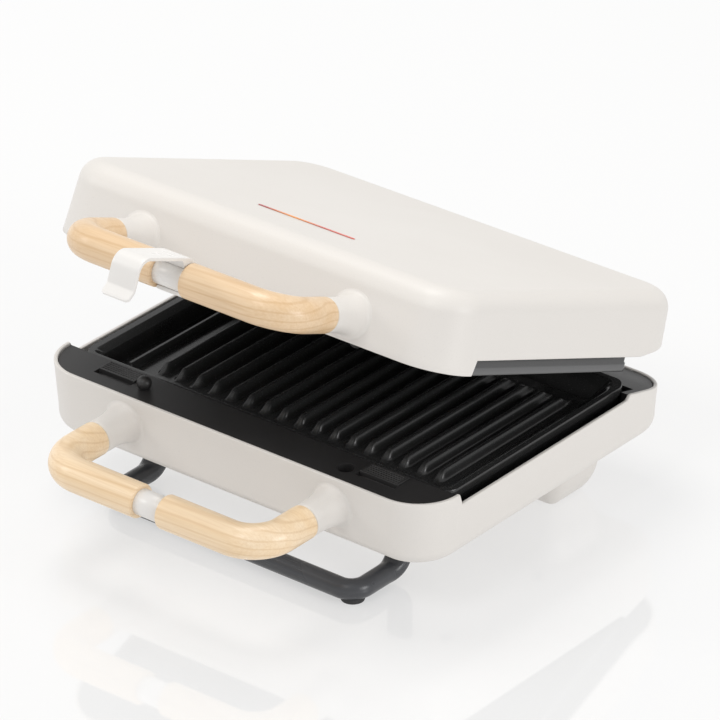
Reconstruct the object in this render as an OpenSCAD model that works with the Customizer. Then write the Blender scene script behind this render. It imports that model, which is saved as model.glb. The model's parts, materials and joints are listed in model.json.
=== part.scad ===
// Countertop contact-grill sandwich toaster with a hinged lid.
// Front faces -Y, up is +Z, the floor is z = 0. Lengths are in millimetres.

/* [Housing] */
// Width of both shells
body_w = 300; // [290:1:320]
// Depth of the base shell
base_depth = 244.8; // [240:0.1:250]
// How far the lid's rear wall reaches past the base's, with the lid closed
lid_overhang = 2.6; // [0:0.1:4]
// Plan radius of the shells' corners
corner_r = 30; // [24:1:34]
// Wall of both shells
wall = 2.5; // [2:0.1:3]
// Front rim of the base above the floor
base_rim = 81.6; // [79:0.1:84]
// Height of the base shell from its underside to its front rim
base_h = 42.7; // [40:0.1:45]
// Height of the lid shell from its front rim to its top
lid_h = 47.5; // [43.6:0.1:57]
// Gap between the two front rims when the lid is closed
rim_gap = 0.8; // [0.5:0.1:1.2]
// Lean of each shell's wall between its rim and its far edge
draft = 2.4; // [1:0.1:3]
// Radius of the base's lower edge
base_edge_r = 9; // [6:0.5:11]
// Radius of the lid's upper edge
lid_edge_r = 13; // [9:0.5:15]
// Depth of the side notch in the base rim
base_notch = 7.6; // [5:0.1:8]
// Depth of the side notch in the lid rim
lid_notch = 9; // [6:0.1:9.5]

/* [Hinge] */
// Distance of the hinge axis behind the plates
hinge_gap = 16.8; // [16:0.1:18]
// Height of the hinge axis over the plane between the plates
hinge_rise = 15.8; // [15.3:0.1:17]
// Angle at which the lid stands open
open_angle = 21.8; // [15:0.1:30]
// Radius of the hinge pins
hinge_pin_r = 3; // [2.5:0.1:3.5]
// Distance of each hinge's middle from the side of the housing
hinge_side = 69; // [65:1:74]
// Width of each lid lug
lug_w = 12; // [9:0.5:14]
// Thickness of each bracket ear
ear_t = 4.5; // [3:0.1:5]

/* [Plates] */
// Distance of the plates from the sides of the housing
plate_side = 9.9; // [9.5:0.1:13]
// Front edge of the plates behind the front face
plate_front = 32.7; // [32.4:0.1:33.2]
// Distance from the plates' rear edge to the rear face of the base
plate_rear = 37.7; // [36.6:0.1:40]
// Depth of the lower plate's rim below the front rim of the base
plate_sink = 3.8; // [3.6:0.1:4.4]
// Gap between the two plate rims when closed
plate_gap = 1.8; // [1.4:0.1:2.4]
// Height of each plate's skirt
plate_h = 16.8; // [16:0.1:17.2]
// Depth of the cooking floor below the rim
basin_depth = 7.8; // [7:0.1:8.4]
// Thickness of the cast plate
plate_t = 3; // [2.5:0.1:3.2]
// Plan radius of the lower plate's corners
plate_corner_r = 10; // [7:0.5:12]
// Plan radius of the upper plate's corners
upper_corner_r = 3; // [2:0.5:10]
// Number of ridges
ridge_count = 17; // [13:1:19]
// Distance of the first ridge's middle from the plate's left side
ridge_first = 47.3; // [44:0.1:50]
// Distance of the last ridge's middle from the plate's right side
ridge_last = 23.3; // [20:0.1:28]
// Height of the ridges
ridge_h = 5.6; // [4:0.1:6]
// Width of a ridge at its foot
ridge_w = 7; // [5:0.1:8]
// Width of the drip channel
channel_w = 16.5; // [14:0.1:19]
// Distance of the drip channel from the plate's left side
channel_side = 10.6; // [9:0.1:12]
// Depth of the drip channel below the rim
channel_depth = 13.6; // [12:0.1:13.8]

/* [Handles] */
// Distance of the handle bars in front of the shells
bar_reach = 65.1; // [60:0.1:72]
// Distance of the handle bosses from the sides of the housing
boss_side = 70.7; // [66:0.1:78]
// Lower bar below the front rim of the base
lower_bar_drop = 18.3; // [17.6:0.1:19.6]
// Upper bar above the front rim of the lid, with the lid closed
upper_bar_rise = 15.7; // [14.6:0.1:17.6]
// Radius of the wooden grips
grip_r = 10.6; // [9.5:0.1:11]
// Bend radius of the grips' centreline
bend_r = 22; // [18:0.5:26]
// Length of the boss from shell to wood
boss_len = 24; // [20:0.5:26]
// Radius of a boss where it meets the shell
boss_foot_r = 14.6; // [13:0.1:16]
// Radius of the sleeves between the grips
sleeve_r = 8.1; // [7:0.1:8.2]
// Half length of the bare lower sleeve
lower_sleeve_half = 9.2; // [7:0.1:11]
// Radius of the spigots inside the wood
spigot_r = 5; // [4:0.1:5.5]
// Length of the spigots inside the wood
spigot_len = 10; // [8:0.5:12]

/* [Latch] */
// Width of the latch clip
clip_w = 20; // [16:0.5:21]
// Clearance between the clip and each upper grip
clip_side = 0.6; // [0.4:0.1:2]
// Thickness of the latch strip
clip_t = 2.5; // [2:0.1:3]
// Wall of the collar round the sleeve
collar_t = 2.6; // [2:0.1:2.8]
// Clearance of the latched hook round the lower grips
clip_clear = 0.4; // [0.35:0.05:0.6]

/* [Controls] */
// Width of a plate release button
button_w = 28; // [22:0.5:30]
// Length of a plate release button
button_len = 11.4; // [9:0.1:12]
// Distance of each button's middle from the side of the housing
button_side = 50; // [49:0.5:53]
// Travel of the release buttons
button_travel = 4; // [3:0.1:4.5]
// Height of a button over the frame
button_proud = 1; // [0.6:0.1:1.6]
// Number of ribs on a button
rib_count = 6; // [4:1:7]
// Distance of the locating posts from the side of the housing
post_side = 73; // [73:0.5:76]
// Radius of the ball on a locating post
post_r = 4.6; // [4:0.1:4.8]

/* [Stand] */
// Radius of the stand's round bar
stand_r = 6.4; // [5.5:0.1:7]
// Distance of the stand's arms from the side of the housing
stand_side = 56.5; // [54:0.5:66]
// Front run of the stand behind the front face
stand_y = 4; // [1:0.5:6]
// Bend radius of the stand's front corners
stand_bend_r = 10.5; // [8:0.5:14]
// Level length of the stand's arms behind the front run
stand_run = 35; // [30:0.5:42]
// Thickness of the rubber pads
pad_t = 1.6; // [1.2:0.1:2.5]
// Distance of the rear plinth from the sides of the housing
plinth_side = 26; // [24:1:40]
// Distance of the rear plinth from the rear face of the base
plinth_rear = 34.8; // [30:0.1:42]
// Depth of the rear plinth
plinth_depth = 52; // [44:1:58]

/* [Fits] */
// Clearance between parts that are screwed or pressed together
fit = 0.3; // [0.2:0.05:0.4]
// Radial clearance of pins and screws in their bores
pin_fit = 0.05; // [0.03:0.01:0.1]

/* [Hidden] */
$fn = 48;

// Levels of the base; the lid's are the same heights turned over about mid_z
base_bottom = base_rim - base_h;
plate_rim = base_rim - plate_sink;
mid_z = plate_rim + plate_gap / 2;
frame_recess = 1.5;
base_bar_top = base_rim - frame_recess;
lid_rim = base_rim + rim_gap;
lid_top = lid_rim + lid_h;
lid_bar_top = 2 * mid_z - (lid_rim + frame_recess);
plate_bottom = plate_rim - plate_h;
basin_z = plate_rim - basin_depth;
tray_t = 2.5;
tray_gap = 2.5;
tray_top = plate_bottom - tray_gap;
tray_bottom = tray_top - tray_t;
plate_w = body_w - 2 * plate_side;
plate_back = base_depth - plate_rear;
lid_depth = base_depth + lid_overhang;
hinge_y = plate_back + hinge_gap;
hinge_z = mid_z + hinge_rise;
hinge_x = body_w / 2 - hinge_side;
bracket_half = lug_w / 2 + fit + ear_t;
pocket_front = plate_front - 1.4;
pocket_back = plate_back + 3.4;
pocket_half_w = plate_w / 2 + 0.9;
rail_top = tray_top + 7.5;
deck_t = 2.5;

// Side view of the rims: the notch, then the rear slope that lets the lid swing
notch_y0 = pocket_front;
notch_run = 3;
base_notch_y1 = pocket_back - 17;
lid_notch_y1 = pocket_back - 8;
rear_rise = 3;
base_rear_slope = 0.26;
lid_rear_slope = 0.19;
base_side_z = base_rim - base_notch;
lid_side_z = lid_rim + lid_notch;
lid_far_z = 2 * mid_z - lid_top;
turned_lid_rim = 2 * mid_z - lid_rim;
turned_side_z = 2 * mid_z - lid_side_z;

// Plate tabs, the axis that each plate tips about
tab_r = 2;
tab_x = 40;
tab_w = 12;
tab_y = pocket_back + 1.5;
tab_z = plate_bottom + 3;

// Rear plinth
plinth_half_w = body_w / 2 - plinth_side;
plinth_y1 = base_depth - plinth_rear;
plinth_y0 = plinth_y1 - plinth_depth;

// Places of the controls
button_x = body_w / 2 - button_side;
post_x = body_w / 2 - post_side;
post_inset = 15.7;
post_y = plate_front - post_inset;
post_stem_r = 3;
post_room = 0.7;

// Handles
boss_x = body_w / 2 - boss_side;
lower_bar_z = base_rim - lower_bar_drop;
upper_bar_z = lid_rim + upper_bar_rise;
upper_sleeve_half = clip_w / 2 + clip_side;
bar_gap = upper_bar_z - lower_bar_z;

// Latch: hook depth from the upper bar's axis to its inner floor
hook_reach = bar_gap + grip_r + clip_clear;
strip_in = grip_r + 0.35;

// Plan origin: middle of the whole toaster with its lid open
tip_y = -(hook_reach + clip_t + 3.6);
tip_z = -13.3;
clip_dy = -bar_reach + tip_y - hinge_y;
clip_dz = upper_bar_z + tip_z - hinge_z;
front_reach = hinge_y + clip_dy * cos(open_angle) + clip_dz * sin(open_angle);
lid_rear_y = lid_depth - draft - hinge_y;
lid_high_z = lid_top - lid_edge_r - hinge_z;
rear_reach = hinge_y + (lid_rear_y - lid_edge_r) * cos(open_angle)
    + lid_high_z * sin(open_angle) + lid_edge_r;
origin_y = (front_reach + rear_reach) / 2;

cream = [0.90, 0.88, 0.86];
white = [0.95, 0.95, 0.94];
black = [0.10, 0.10, 0.11];
coating = [0.13, 0.13, 0.14];
graphite = [0.23, 0.24, 0.26];
maple = [0.87, 0.72, 0.51];
steel = [0.70, 0.71, 0.73];
rubber = [0.16, 0.16, 0.17];

// Everything is built with y = 0 on the base's front face, then centred
module centred() { translate([0, -origin_y, 0]) children(); }

// Closed lid turned about the hinge axis to where it rests
module open_lid() {
    translate([0, hinge_y - origin_y, hinge_z])
        rotate([-open_angle, 0, 0])
            translate([0, -hinge_y, -hinge_z]) children();
}

// Upside-down copy about the plane between the plates
module overturned() { translate([0, 0, 2 * mid_z]) mirror([0, 0, 1]) children(); }

// Quarter arc from angle a to b as outline points
function arc(cx, cz, r, a, b, n = 8) =
    [for (i = [0 : n]) [cx + r * cos(a + (b - a) * i / n), cz + r * sin(a + (b - a) * i / n)]];

// Body with rounded plan corners; section lists [inset from the outline, z]
module soft_body(half_w, y0, y1, r, section) {
    low = section[0][1];
    high = section[len(section) - 1][1];
    last = len(section) - 1;
    corner = concat([[0, low]], [for (p = section) [r - p[0], p[1]]], [[0, high]]);
    across = concat([for (p = section) [half_w - p[0], p[1]]],
        [for (i = [0 : last]) [-half_w + section[last - i][0], section[last - i][1]]]);
    along = concat([for (p = section) [y1 - p[0], p[1]]],
        [for (i = [0 : last]) [y0 + section[last - i][0], section[last - i][1]]]);
    for (q = [[1, 1, 0], [-1, 1, 90], [-1, 0, 180], [1, 0, 270]])
        translate([q[0] * (half_w - r), q[1] == 1 ? y1 - r : y0 + r, 0])
            rotate([0, 0, q[2]]) rotate_extrude(angle = 90) polygon(corner);
    translate([0, y1 - r, 0]) rotate([90, 0, 0])
        linear_extrude(height = y1 - y0 - 2 * r) polygon(across);
    translate([-(half_w - r), 0, 0]) rotate([90, 0, 90])
        linear_extrude(height = 2 * (half_w - r)) polygon(along);
}

// Prism across the whole width with a side view given as [y, z] points
module side_prism(points, half = body_w) {
    translate([-half, 0, 0]) rotate([90, 0, 90]) linear_extrude(height = 2 * half) polygon(points);
}

// Prism along y with a front view given as [x, z] points
module front_prism(points, y0, y1) {
    translate([0, y1, 0]) rotate([90, 0, 0]) linear_extrude(height = y1 - y0) polygon(points);
}

// Box from its lowest and highest x, y and z
module block(x0, x1, y0, y1, z0, z1) {
    translate([x0, y0, z0]) cube([x1 - x0, y1 - y0, z1 - z0]);
}

// Round pieces along each axis
module rod_x(r, x0, x1, y, z) { translate([x0, y, z]) rotate([0, 90, 0]) cylinder(r = r, h = x1 - x0); }
module rod_y(r, y0, y1, x, z) { translate([x, y1, z]) rotate([90, 0, 0]) cylinder(r = r, h = y1 - y0); }
module rod_z(r, z0, z1, x, y) { translate([x, y, z0]) cylinder(r = r, h = z1 - z0); }

// ---- Shells --------------------------------------------------------------

// Wall section from the far edge (low) to the rim (high)
function shell_section(far_z, rim_z, edge, lean, t) =
    let (inset = lean + t)
    concat(arc(inset + edge, far_z + t + edge, edge, 270, 180),
        [[inset, far_z + t + edge + 2], [t, rim_z]]);

module shell_half(depth, far_z, rim_z, edge, side_z, y_step, step_rise, slope) {
    difference() {
        soft_body(body_w / 2, 0, depth, corner_r, shell_section(far_z, rim_z, edge, draft, 0));
        soft_body(body_w / 2, 0, depth, corner_r,
            shell_section(far_z, rim_z + 1, edge - wall, draft, wall));
        side_prism([[-5, rim_z], [notch_y0, rim_z], [notch_y0 + notch_run, side_z],
            [y_step, side_z], [y_step + notch_run, side_z + step_rise],
            [depth + 5, side_z + step_rise - (depth + 5 - notch_run - y_step) * slope],
            [depth + 5, rim_z + 20], [-5, rim_z + 20]]);
    }
}

// Screws that pull the shells onto their frames, the rear pair just in front of the plinth
screw_side = 32;
screw_front = 27.3;
screw_x = body_w / 2 - screw_side;
screw_y0 = plate_front + screw_front;
screw_y1 = plinth_y0 - 8;
screw_spots = [[-screw_x, screw_y0], [screw_x, screw_y0], [-screw_x, screw_y1], [screw_x, screw_y1]];
pillar_r = 4.5;
screw_r = 1.5;
screw_head_r = 3;
screw_head_t = 1.8;
handle_screw_r = 2;
handle_head_r = 3.6;
handle_head_t = 2.4;
gland_r = 7;
gland_flange = 2.5;
gland_room = 1.5;
deck_half = hinge_x - bracket_half - 8.2;
gland_x = deck_half - gland_r - 10;
gland_z = deck_z(base_depth, base_side_z, base_notch_y1, rear_rise, base_rear_slope)
    - deck_t - gland_r - gland_room;
base_screw_end = tray_bottom - 0.5;
lid_screw_end = tray_bottom - 12;

module screw_bores(z0, z1, extra) {
    for (s = screw_spots) rod_z(screw_r + extra, z0, z1, s[0], s[1]);
}

module handle_bores(z, y1, extra) {
    for (s = [-1, 1]) rod_y(handle_screw_r + extra, -boss_len + 3, y1, s * boss_x, z);
}

module base_shell() color(cream) centred() difference() {
    shell_half(base_depth, base_bottom, base_rim, base_edge_r,
        base_side_z, base_notch_y1, rear_rise, base_rear_slope);
    screw_bores(base_bottom - 1, base_bottom + wall + 1, pin_fit);
    handle_bores(lower_bar_z, draft + wall + 2, pin_fit);
    rod_y(gland_r, base_depth - 10, base_depth + 1, gland_x, gland_z);
}

module lid_shell() color(cream) open_lid() difference() {
    union() {
        overturned()
            shell_half(lid_depth, lid_far_z, turned_lid_rim, lid_edge_r,
                turned_side_z, lid_notch_y1, 0, lid_rear_slope);
        overturned() for (s = screw_spots)
            rod_z(pillar_r, lid_far_z + wall - 0.5, tray_bottom, s[0], s[1]);
    }
    overturned() screw_bores(lid_screw_end, tray_bottom + 1, pin_fit);
    handle_bores(upper_bar_z, draft + wall + 2, pin_fit);
}

// ---- Inner frames --------------------------------------------------------

// Height of the rear deck's upper face at y, in the base's sense of up
function deck_z(y, side_z, y_step, rise, slope) =
    side_z + rise - frame_recess - (y - y_step - notch_run) * slope;

// Slot, window and pocket of one release button; side is -1 or 1
module button_cuts(side, bar_top) {
    x = side * button_x;
    skirt = button_w / 2 + 3;
    y1 = pocket_front - 1.2;
    y0 = y1 - button_len - button_travel - 2 * fit;
    block(x - button_w / 2 - fit, x + button_w / 2 + fit, y0, y1, bar_top - 6, bar_top + 1);
    block(x - skirt - fit, x + skirt + fit, y0 - 3, y1, bar_top - 5.6, bar_top - 2.3);
    block(x - 6 - fit, x + 6 + fit, y1 - 1, plate_front, bar_top - 5.6, bar_top - 2.9);
}

// posts is the side, -1 or 1, on which the frame carries its locating post
module frame_half(depth, bar_top, rim_z, side_z, y_step, rise, slope, posts) {
    inner = wall + fit;
    deck_y = y_step + notch_run + 2;
    deck_end = deck_z(depth, side_z, y_step, rise, slope);
    difference() {
        intersection() {
            soft_body(body_w / 2, 0, depth, corner_r,
                [[draft + inner, tray_bottom], [inner, rim_z], [inner, rim_z + 10]]);
            side_prism([[0, tray_bottom], [depth, tray_bottom],
                [depth, deck_end], [deck_y, deck_z(deck_y, side_z, y_step, rise, slope)],
                [deck_y, rail_top], [pocket_front, rail_top],
                [pocket_front, bar_top], [0, bar_top]]);
        }
        // Pocket that takes the plate
        block(-pocket_half_w, pocket_half_w, pocket_front, pocket_back, tray_top, rim_z + 11);
        // Hollows under the front bar and the rear deck
        block(-screw_x, screw_x, -1, pocket_front - 2.5, tray_bottom - 1, bar_top - 6.5);
        block(-deck_half, deck_half, pocket_back + 5, depth + 1, tray_bottom - 4, deck_end - deck_t);
        // Opening under the reflector
        block(-heater_half + 16, heater_half - 16, heater_y0 + 6, heater_y1 - 12,
            tray_bottom - 1, tray_top + 1);
        for (s = [-1, 1]) button_cuts(s, bar_top);
        // Seat of the locating post and hole for the facing one
        for (s = [-1, 1])
            rod_z(posts == s ? post_stem_r + pin_fit : post_r + post_room, bar_top - 9, bar_top + 1,
                s * post_x, post_y);
        // Sockets for the plate's tabs
        for (s = [-1, 1])
            block(s * tab_x - tab_w / 2 - fit, s * tab_x + tab_w / 2 + fit,
                pocket_back - 1, tab_y + tab_r + fit, tab_z - tab_r - fit, tab_z + tab_r + fit);
    }
}

// The base frame stands on hollow screw pillars
module base_frame() color(black) centred() difference() {
    union() {
        frame_half(base_depth, base_bar_top, base_rim,
            base_side_z, base_notch_y1, rear_rise, base_rear_slope, -1);
        for (s = screw_spots)
            rod_z(pillar_r, base_bottom + wall, tray_bottom + 0.5, s[0], s[1]);
    }
    screw_bores(base_bottom, base_screw_end, pin_fit);
}

module lid_frame() color(black) open_lid() difference() {
    overturned() frame_half(lid_depth, lid_bar_top, turned_lid_rim,
        turned_side_z, lid_notch_y1, 0, lid_rear_slope, 1);
    overturned() screw_bores(tray_bottom - 1, tray_top + 1, pin_fit);
    // Room for the hinge brackets and lugs
    for (s = [-1, 1])
        block(s * hinge_x - bracket_half - 1.5, s * hinge_x + bracket_half + 1.5,
            pocket_back - 0.5, hinge_y + 12, hinge_z - 30, hinge_z + 30);
}

// ---- Cooking plates ------------------------------------------------------

// Cast plate with ridges; its left side may hold the drip channel
module plate_half(channel, corner) {
    half = plate_w / 2;
    lip = 3.6;
    back = plate_back - lip;
    floor_back = plate_back - 22;
    channel_x = -half + channel_side;
    channel_end = channel_x + channel_w;
    left = channel ? channel_end + plate_t : -half + lip + 4;
    ledge = channel ? channel_side - 0.2 : lip + 2;
    ledge_drop = channel ? 2.6 : basin_depth / 2;
    left_lip = channel ? lip + 1.5 : lip;
    left_foot = channel ? channel_side : lip + 4;
    under = basin_z - plate_t;
    ridge_x0 = -half + ridge_first;
    ridge_pitch = (plate_w - ridge_first - ridge_last) / (ridge_count - 1);
    difference() {
        soft_body(half, plate_front, plate_back, corner,
            [[0.8, plate_bottom], [0.8, plate_rim - 6], [0, plate_rim - 5],
                [0, plate_rim - 0.8], [0.8, plate_rim]]);
        // Basin with sloped walls, long at the rear
        intersection() {
            side_prism([[plate_front + lip, plate_rim + 1], [plate_front + lip, plate_rim],
                [plate_front + lip + 5, basin_z], [floor_back, basin_z],
                [back, plate_rim], [back, plate_rim + 1]]);
            front_prism([[-half + left_lip, plate_rim + 1], [-half + left_lip, plate_rim],
                [-half + ledge, plate_rim - ledge_drop], [-half + left_foot, basin_z],
                [half - lip - 11, basin_z],
                [half - lip, plate_rim], [half - lip, plate_rim + 1]],
                plate_front, plate_back);
        }
        if (channel)
            block(channel_x, channel_end, plate_front + lip + 9, floor_back + 6,
                plate_rim - channel_depth, plate_rim);
        // Hollow underside
        block(left, half - 4, plate_front + 4, plate_back - 4, plate_bottom - 1, under);
    }
    // Divider between the channel and the floor
    if (channel)
        front_prism([[channel_end, basin_z - 0.5], [channel_end + 1, basin_z + ridge_h - 0.6],
            [channel_end + 3, basin_z + ridge_h - 0.6], [channel_end + 4.2, basin_z - 0.5]],
            plate_front + lip + 6, floor_back + 6);
    // Ridges with bevelled ends
    intersection() {
        side_prism([[plate_front + 17, basin_z - 0.5], [plate_front + 20, basin_z + ridge_h * 0.6],
            [plate_front + 27, basin_z + ridge_h], [floor_back - 15, basin_z + ridge_h],
            [floor_back - 7, basin_z - 0.5]]);
        for (i = [0 : ridge_count - 1]) {
            x = ridge_x0 + i * ridge_pitch;
            front_prism([[x - ridge_w / 2, basin_z - 0.5], [x - 1.3, basin_z + ridge_h],
                [x + 1.3, basin_z + ridge_h], [x + ridge_w / 2, basin_z - 0.5]],
                plate_front, plate_back);
        }
    }
    // Tabs that hook under the rear deck
    for (s = [-1, 1]) {
        rod_x(tab_r, s * tab_x - tab_w / 2, s * tab_x + tab_w / 2, tab_y, tab_z);
        block(s * tab_x - tab_w / 2, s * tab_x + tab_w / 2, plate_back - 2, tab_y,
            tab_z - 1.2, tab_z + 1.2);
    }
}

module lower_plate() color(coating) centred() plate_half(true, plate_corner_r);
module upper_plate() color(coating) open_lid() overturned() plate_half(false, upper_corner_r);

// ---- Heating -------------------------------------------------------------

heater_r = 3.2;
heater_bend = 24;
heater_side = 64;
heater_front = 34;
heater_rear = 30;
heater_half = body_w / 2 - heater_side;
heater_y0 = plate_front + heater_front;
heater_y1 = plate_back - heater_rear;
heater_gap = 15;
pin_r = 1.4;
pin_len = 7.5;
reflector_t = 0.8;
reflector_margin = 7;
reflector_edge = 8;
reflector_lip = 5;
reflector_half = heater_half + reflector_margin;
cradle_half_w = 5;
cradle_half_d = 4;
under_plate = basin_z - plate_t;
heater_room = 0.5;
heater_z = under_plate - heater_r - heater_room;
reflector_top = tray_top + reflector_t;

// Quarter bend of a round rod, centre at [cx, cy], start angle a
module bend(r, tube, cx, cy, z, a) {
    translate([cx, cy, z]) rotate([0, 0, a])
        rotate_extrude(angle = 90) translate([r, 0]) circle(r = tube);
}

// One loop of tube with its two ends meeting near the rear
module heater_half_loop() {
    for (s = [0, 1]) mirror([s, 0, 0]) {
        rod_x(heater_r, heater_gap, heater_half - heater_bend, heater_y1, heater_z);
        bend(heater_bend, heater_r, heater_half - heater_bend, heater_y1 - heater_bend, heater_z, 0);
        rod_y(heater_r, heater_y0 + heater_bend, heater_y1 - heater_bend, heater_half, heater_z);
        bend(heater_bend, heater_r, heater_half - heater_bend, heater_y0 + heater_bend, heater_z, 270);
        // Terminal pin
        rod_x(pin_r, heater_gap + 0.5 - pin_len, heater_gap + 0.5, heater_y1, heater_z);
    }
    rod_x(heater_r, -(heater_half - heater_bend), heater_half - heater_bend, heater_y0, heater_z);
}

module reflector_half_tray() {
    y0 = heater_y0 - reflector_edge;
    y1 = heater_y1 + reflector_edge;
    block(-reflector_half, reflector_half, y0, y1, tray_top, reflector_top);
    for (s = [-1, 1])
        translate([s * (reflector_half - reflector_t / 2), 0, 0])
            block(-reflector_t / 2, reflector_t / 2, y0, y1, tray_top, reflector_top + reflector_lip);
}

cradle_spots = [[-1, 0.35], [-1, 0.65], [1, 0.35], [1, 0.65]];

module cradles_half() {
    for (c = cradle_spots) {
        x = c[0] * heater_half;
        y = heater_y0 + c[1] * (heater_y1 - heater_y0);
        difference() {
            block(x - cradle_half_w, x + cradle_half_w, y - cradle_half_d, y + cradle_half_d,
                reflector_top, heater_z);
            rod_y(heater_r, y - cradle_half_d - 1, y + cradle_half_d + 1, x, heater_z);
        }
    }
}

module base_heater() color(steel) centred() heater_half_loop();
module lid_heater() color(steel) open_lid() overturned() heater_half_loop();
module base_reflector() color(steel) centred() reflector_half_tray();
module lid_reflector() color(steel) open_lid() overturned() reflector_half_tray();
module base_cradles() color(white) centred() cradles_half();
module lid_cradles() color(white) open_lid() overturned() cradles_half();

// Disc thermostat under the reflector, in the opening of the frame's floor
disc_r = 9;
disc_h = 6;
disc_flange_r = 11;
disc_flange_t = 1.5;
module thermostat() color(steel) centred() {
    y = (heater_y0 + heater_y1) / 2;
    rod_z(disc_r, tray_top - disc_h, tray_top - disc_flange_t, 0, y);
    rod_z(disc_flange_r, tray_top - disc_flange_t, tray_top, 0, y);
}

// Fuse in its strap above the lid's reflector
fuse_r = 2.4;
fuse_half = 12;
strap_half = 4;
strap_h = 5;
module thermal_fuse() color(white) open_lid() overturned() {
    y = (heater_y0 + heater_y1) / 2;
    block(-strap_half, strap_half, y - strap_half, y + strap_half, tray_top - strap_h, tray_top);
    rod_x(fuse_r, -fuse_half, fuse_half, y, tray_top - strap_h);
}

// ---- Release buttons and locating posts ----------------------------------

module release_button(side, bar_top) {
    x = side * button_x;
    y1 = pocket_front - 1.2 - fit;
    y0 = y1 - button_len;
    gap = 0.25;
    rib = button_len / (2 * rib_count);
    difference() {
        block(x - button_w / 2, x + button_w / 2, y0, y1, bar_top - 3, bar_top + button_proud);
        for (i = [1 : rib_count - 1])
            block(x - button_w / 2 + 1.5, x + button_w / 2 - 1.5, y0 + (2 * i - 0.5) * rib,
                y0 + (2 * i + 0.5) * rib, bar_top + button_proud - 0.7, bar_top + button_proud + 1);
    }
    block(x - button_w / 2 - 3, x + button_w / 2 + 3, y0 - 2.5, y1, bar_top - 5.6 + gap, bar_top - 2.3 - gap);
    block(x - 6, x + 6, y1 - 1, plate_front - fit, bar_top - 5.6 + gap, bar_top - 2.9 - gap);
}

module base_release_left() color(black) centred() release_button(-1, base_bar_top);
module base_release_right() color(black) centred() release_button(1, base_bar_top);
module lid_release_left() color(black) open_lid() overturned() release_button(-1, lid_bar_top);
module lid_release_right() color(black) open_lid() overturned() release_button(1, lid_bar_top);

// Ball on a collared stem that enters the facing frame's hole
module locating_post(side, bar_top) {
    rod_z(post_stem_r, bar_top - 8.5, bar_top + 3, side * post_x, post_y);
    translate([side * post_x, post_y, bar_top + post_r - 0.9]) sphere(r = post_r);
}

module base_post() color(black) centred() locating_post(-1, base_bar_top);
module lid_post() color(black) open_lid() overturned() locating_post(1, lid_bar_top);

// ---- Hinge ---------------------------------------------------------------

ear_r = 7;
lug_r = 6.5;
stem_y0 = pocket_back + 1.5;
stem_y1 = hinge_y - 2.4;

// Goose-necked bracket on the rear deck, its two ears round the pin
module hinge_bracket(x) {
    difference() {
        union() {
            rod_x(ear_r, x - bracket_half, x + bracket_half, hinge_y, hinge_z);
            translate([x, 0, 0])
                side_prism([[stem_y0, base_side_z - 20], [stem_y1, base_side_z - 20],
                    [stem_y1, hinge_z - 14], [hinge_y + ear_r * 0.7, hinge_z - ear_r * 0.7],
                    [hinge_y - ear_r, hinge_z], [stem_y0, hinge_z - 12]], bracket_half);
        }
        side_prism([[0, 0], [base_depth + 20, 0],
            [base_depth + 20, deck_z(base_depth + 20, base_side_z, base_notch_y1, rear_rise, base_rear_slope)],
            [0, deck_z(0, base_side_z, base_notch_y1, rear_rise, base_rear_slope)]]);
        block(x - lug_w / 2 - fit, x + lug_w / 2 + fit, stem_y0 - 1, hinge_y + ear_r + 1,
            hinge_z - lug_r - 1.5, hinge_z + ear_r + 1);
        rod_x(hinge_pin_r + pin_fit, x - bracket_half - 1, x + bracket_half + 1, hinge_y, hinge_z);
    }
}

module hinge_brackets() color(black) centred()
    for (s = [-1, 1]) hinge_bracket(s * hinge_x);

module hinge_pins() color(steel) centred()
    for (s = [-1, 1]) {
        rod_x(hinge_pin_r, s * hinge_x - bracket_half, s * hinge_x + bracket_half, hinge_y, hinge_z);
        // Rivet heads outside the ears
        rod_x(hinge_pin_r + 1.8, s * hinge_x - bracket_half - 1.2, s * hinge_x - bracket_half,
            hinge_y, hinge_z);
        rod_x(hinge_pin_r + 1.8, s * hinge_x + bracket_half, s * hinge_x + bracket_half + 1.2,
            hinge_y, hinge_z);
    }

// Lug round the pin with an arm that is screwed onto the lid frame's floor
arm_top = 2 * mid_z - tray_bottom;
module lid_arm(x) {
    difference() {
        union() {
            rod_x(lug_r, x - lug_w / 2, x + lug_w / 2, hinge_y, hinge_z);
            translate([x, 0, 0])
                side_prism([[hinge_y - lug_r, hinge_z], [hinge_y + lug_r, hinge_z],
                    [hinge_y + lug_r - 2, arm_top + 5], [plate_back - 18, arm_top + 5],
                    [plate_back - 18, arm_top], [pocket_back, arm_top]], lug_w / 2);
        }
        rod_x(hinge_pin_r + pin_fit, x - lug_w, x + lug_w, hinge_y, hinge_z);
    }
}

module lid_hinge_arms() color(steel) open_lid()
    for (s = [-1, 1]) lid_arm(s * hinge_x);

// ---- Handles -------------------------------------------------------------

boss_tip_r = grip_r - 0.3;

// Tapered boss with a concave foot, cut back to the shell's face
module boss(z) {
    run = boss_len;
    foot = boss_foot_r - boss_tip_r - 1;
    profile = concat([[0, -draft - 2], [boss_foot_r + 1.5, -draft - 2]],
        [for (i = [0 : 6]) [boss_tip_r + 1 + foot * pow(1 - i / 6, 2.2), i / 6 * run * 0.62]],
        [[boss_tip_r, run], [0, run]]);
    for (s = [-1, 1])
        translate([s * boss_x, 0, z]) rotate([90, 0, 0]) rotate_extrude() polygon(profile);
    for (s = [-1, 1]) rod_y(spigot_r, -run - spigot_len, -run + 1, s * boss_x, z);
}

module lower_bosses() color(cream) centred() difference() {
    boss(lower_bar_z);
    soft_body(body_w / 2, 0, base_depth, corner_r,
        shell_section(base_bottom, base_rim, base_edge_r, draft, 0));
    for (s = [-1, 1]) rod_y(handle_screw_r + pin_fit, -boss_len + 2, 10, s * boss_x, lower_bar_z);
}

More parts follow.
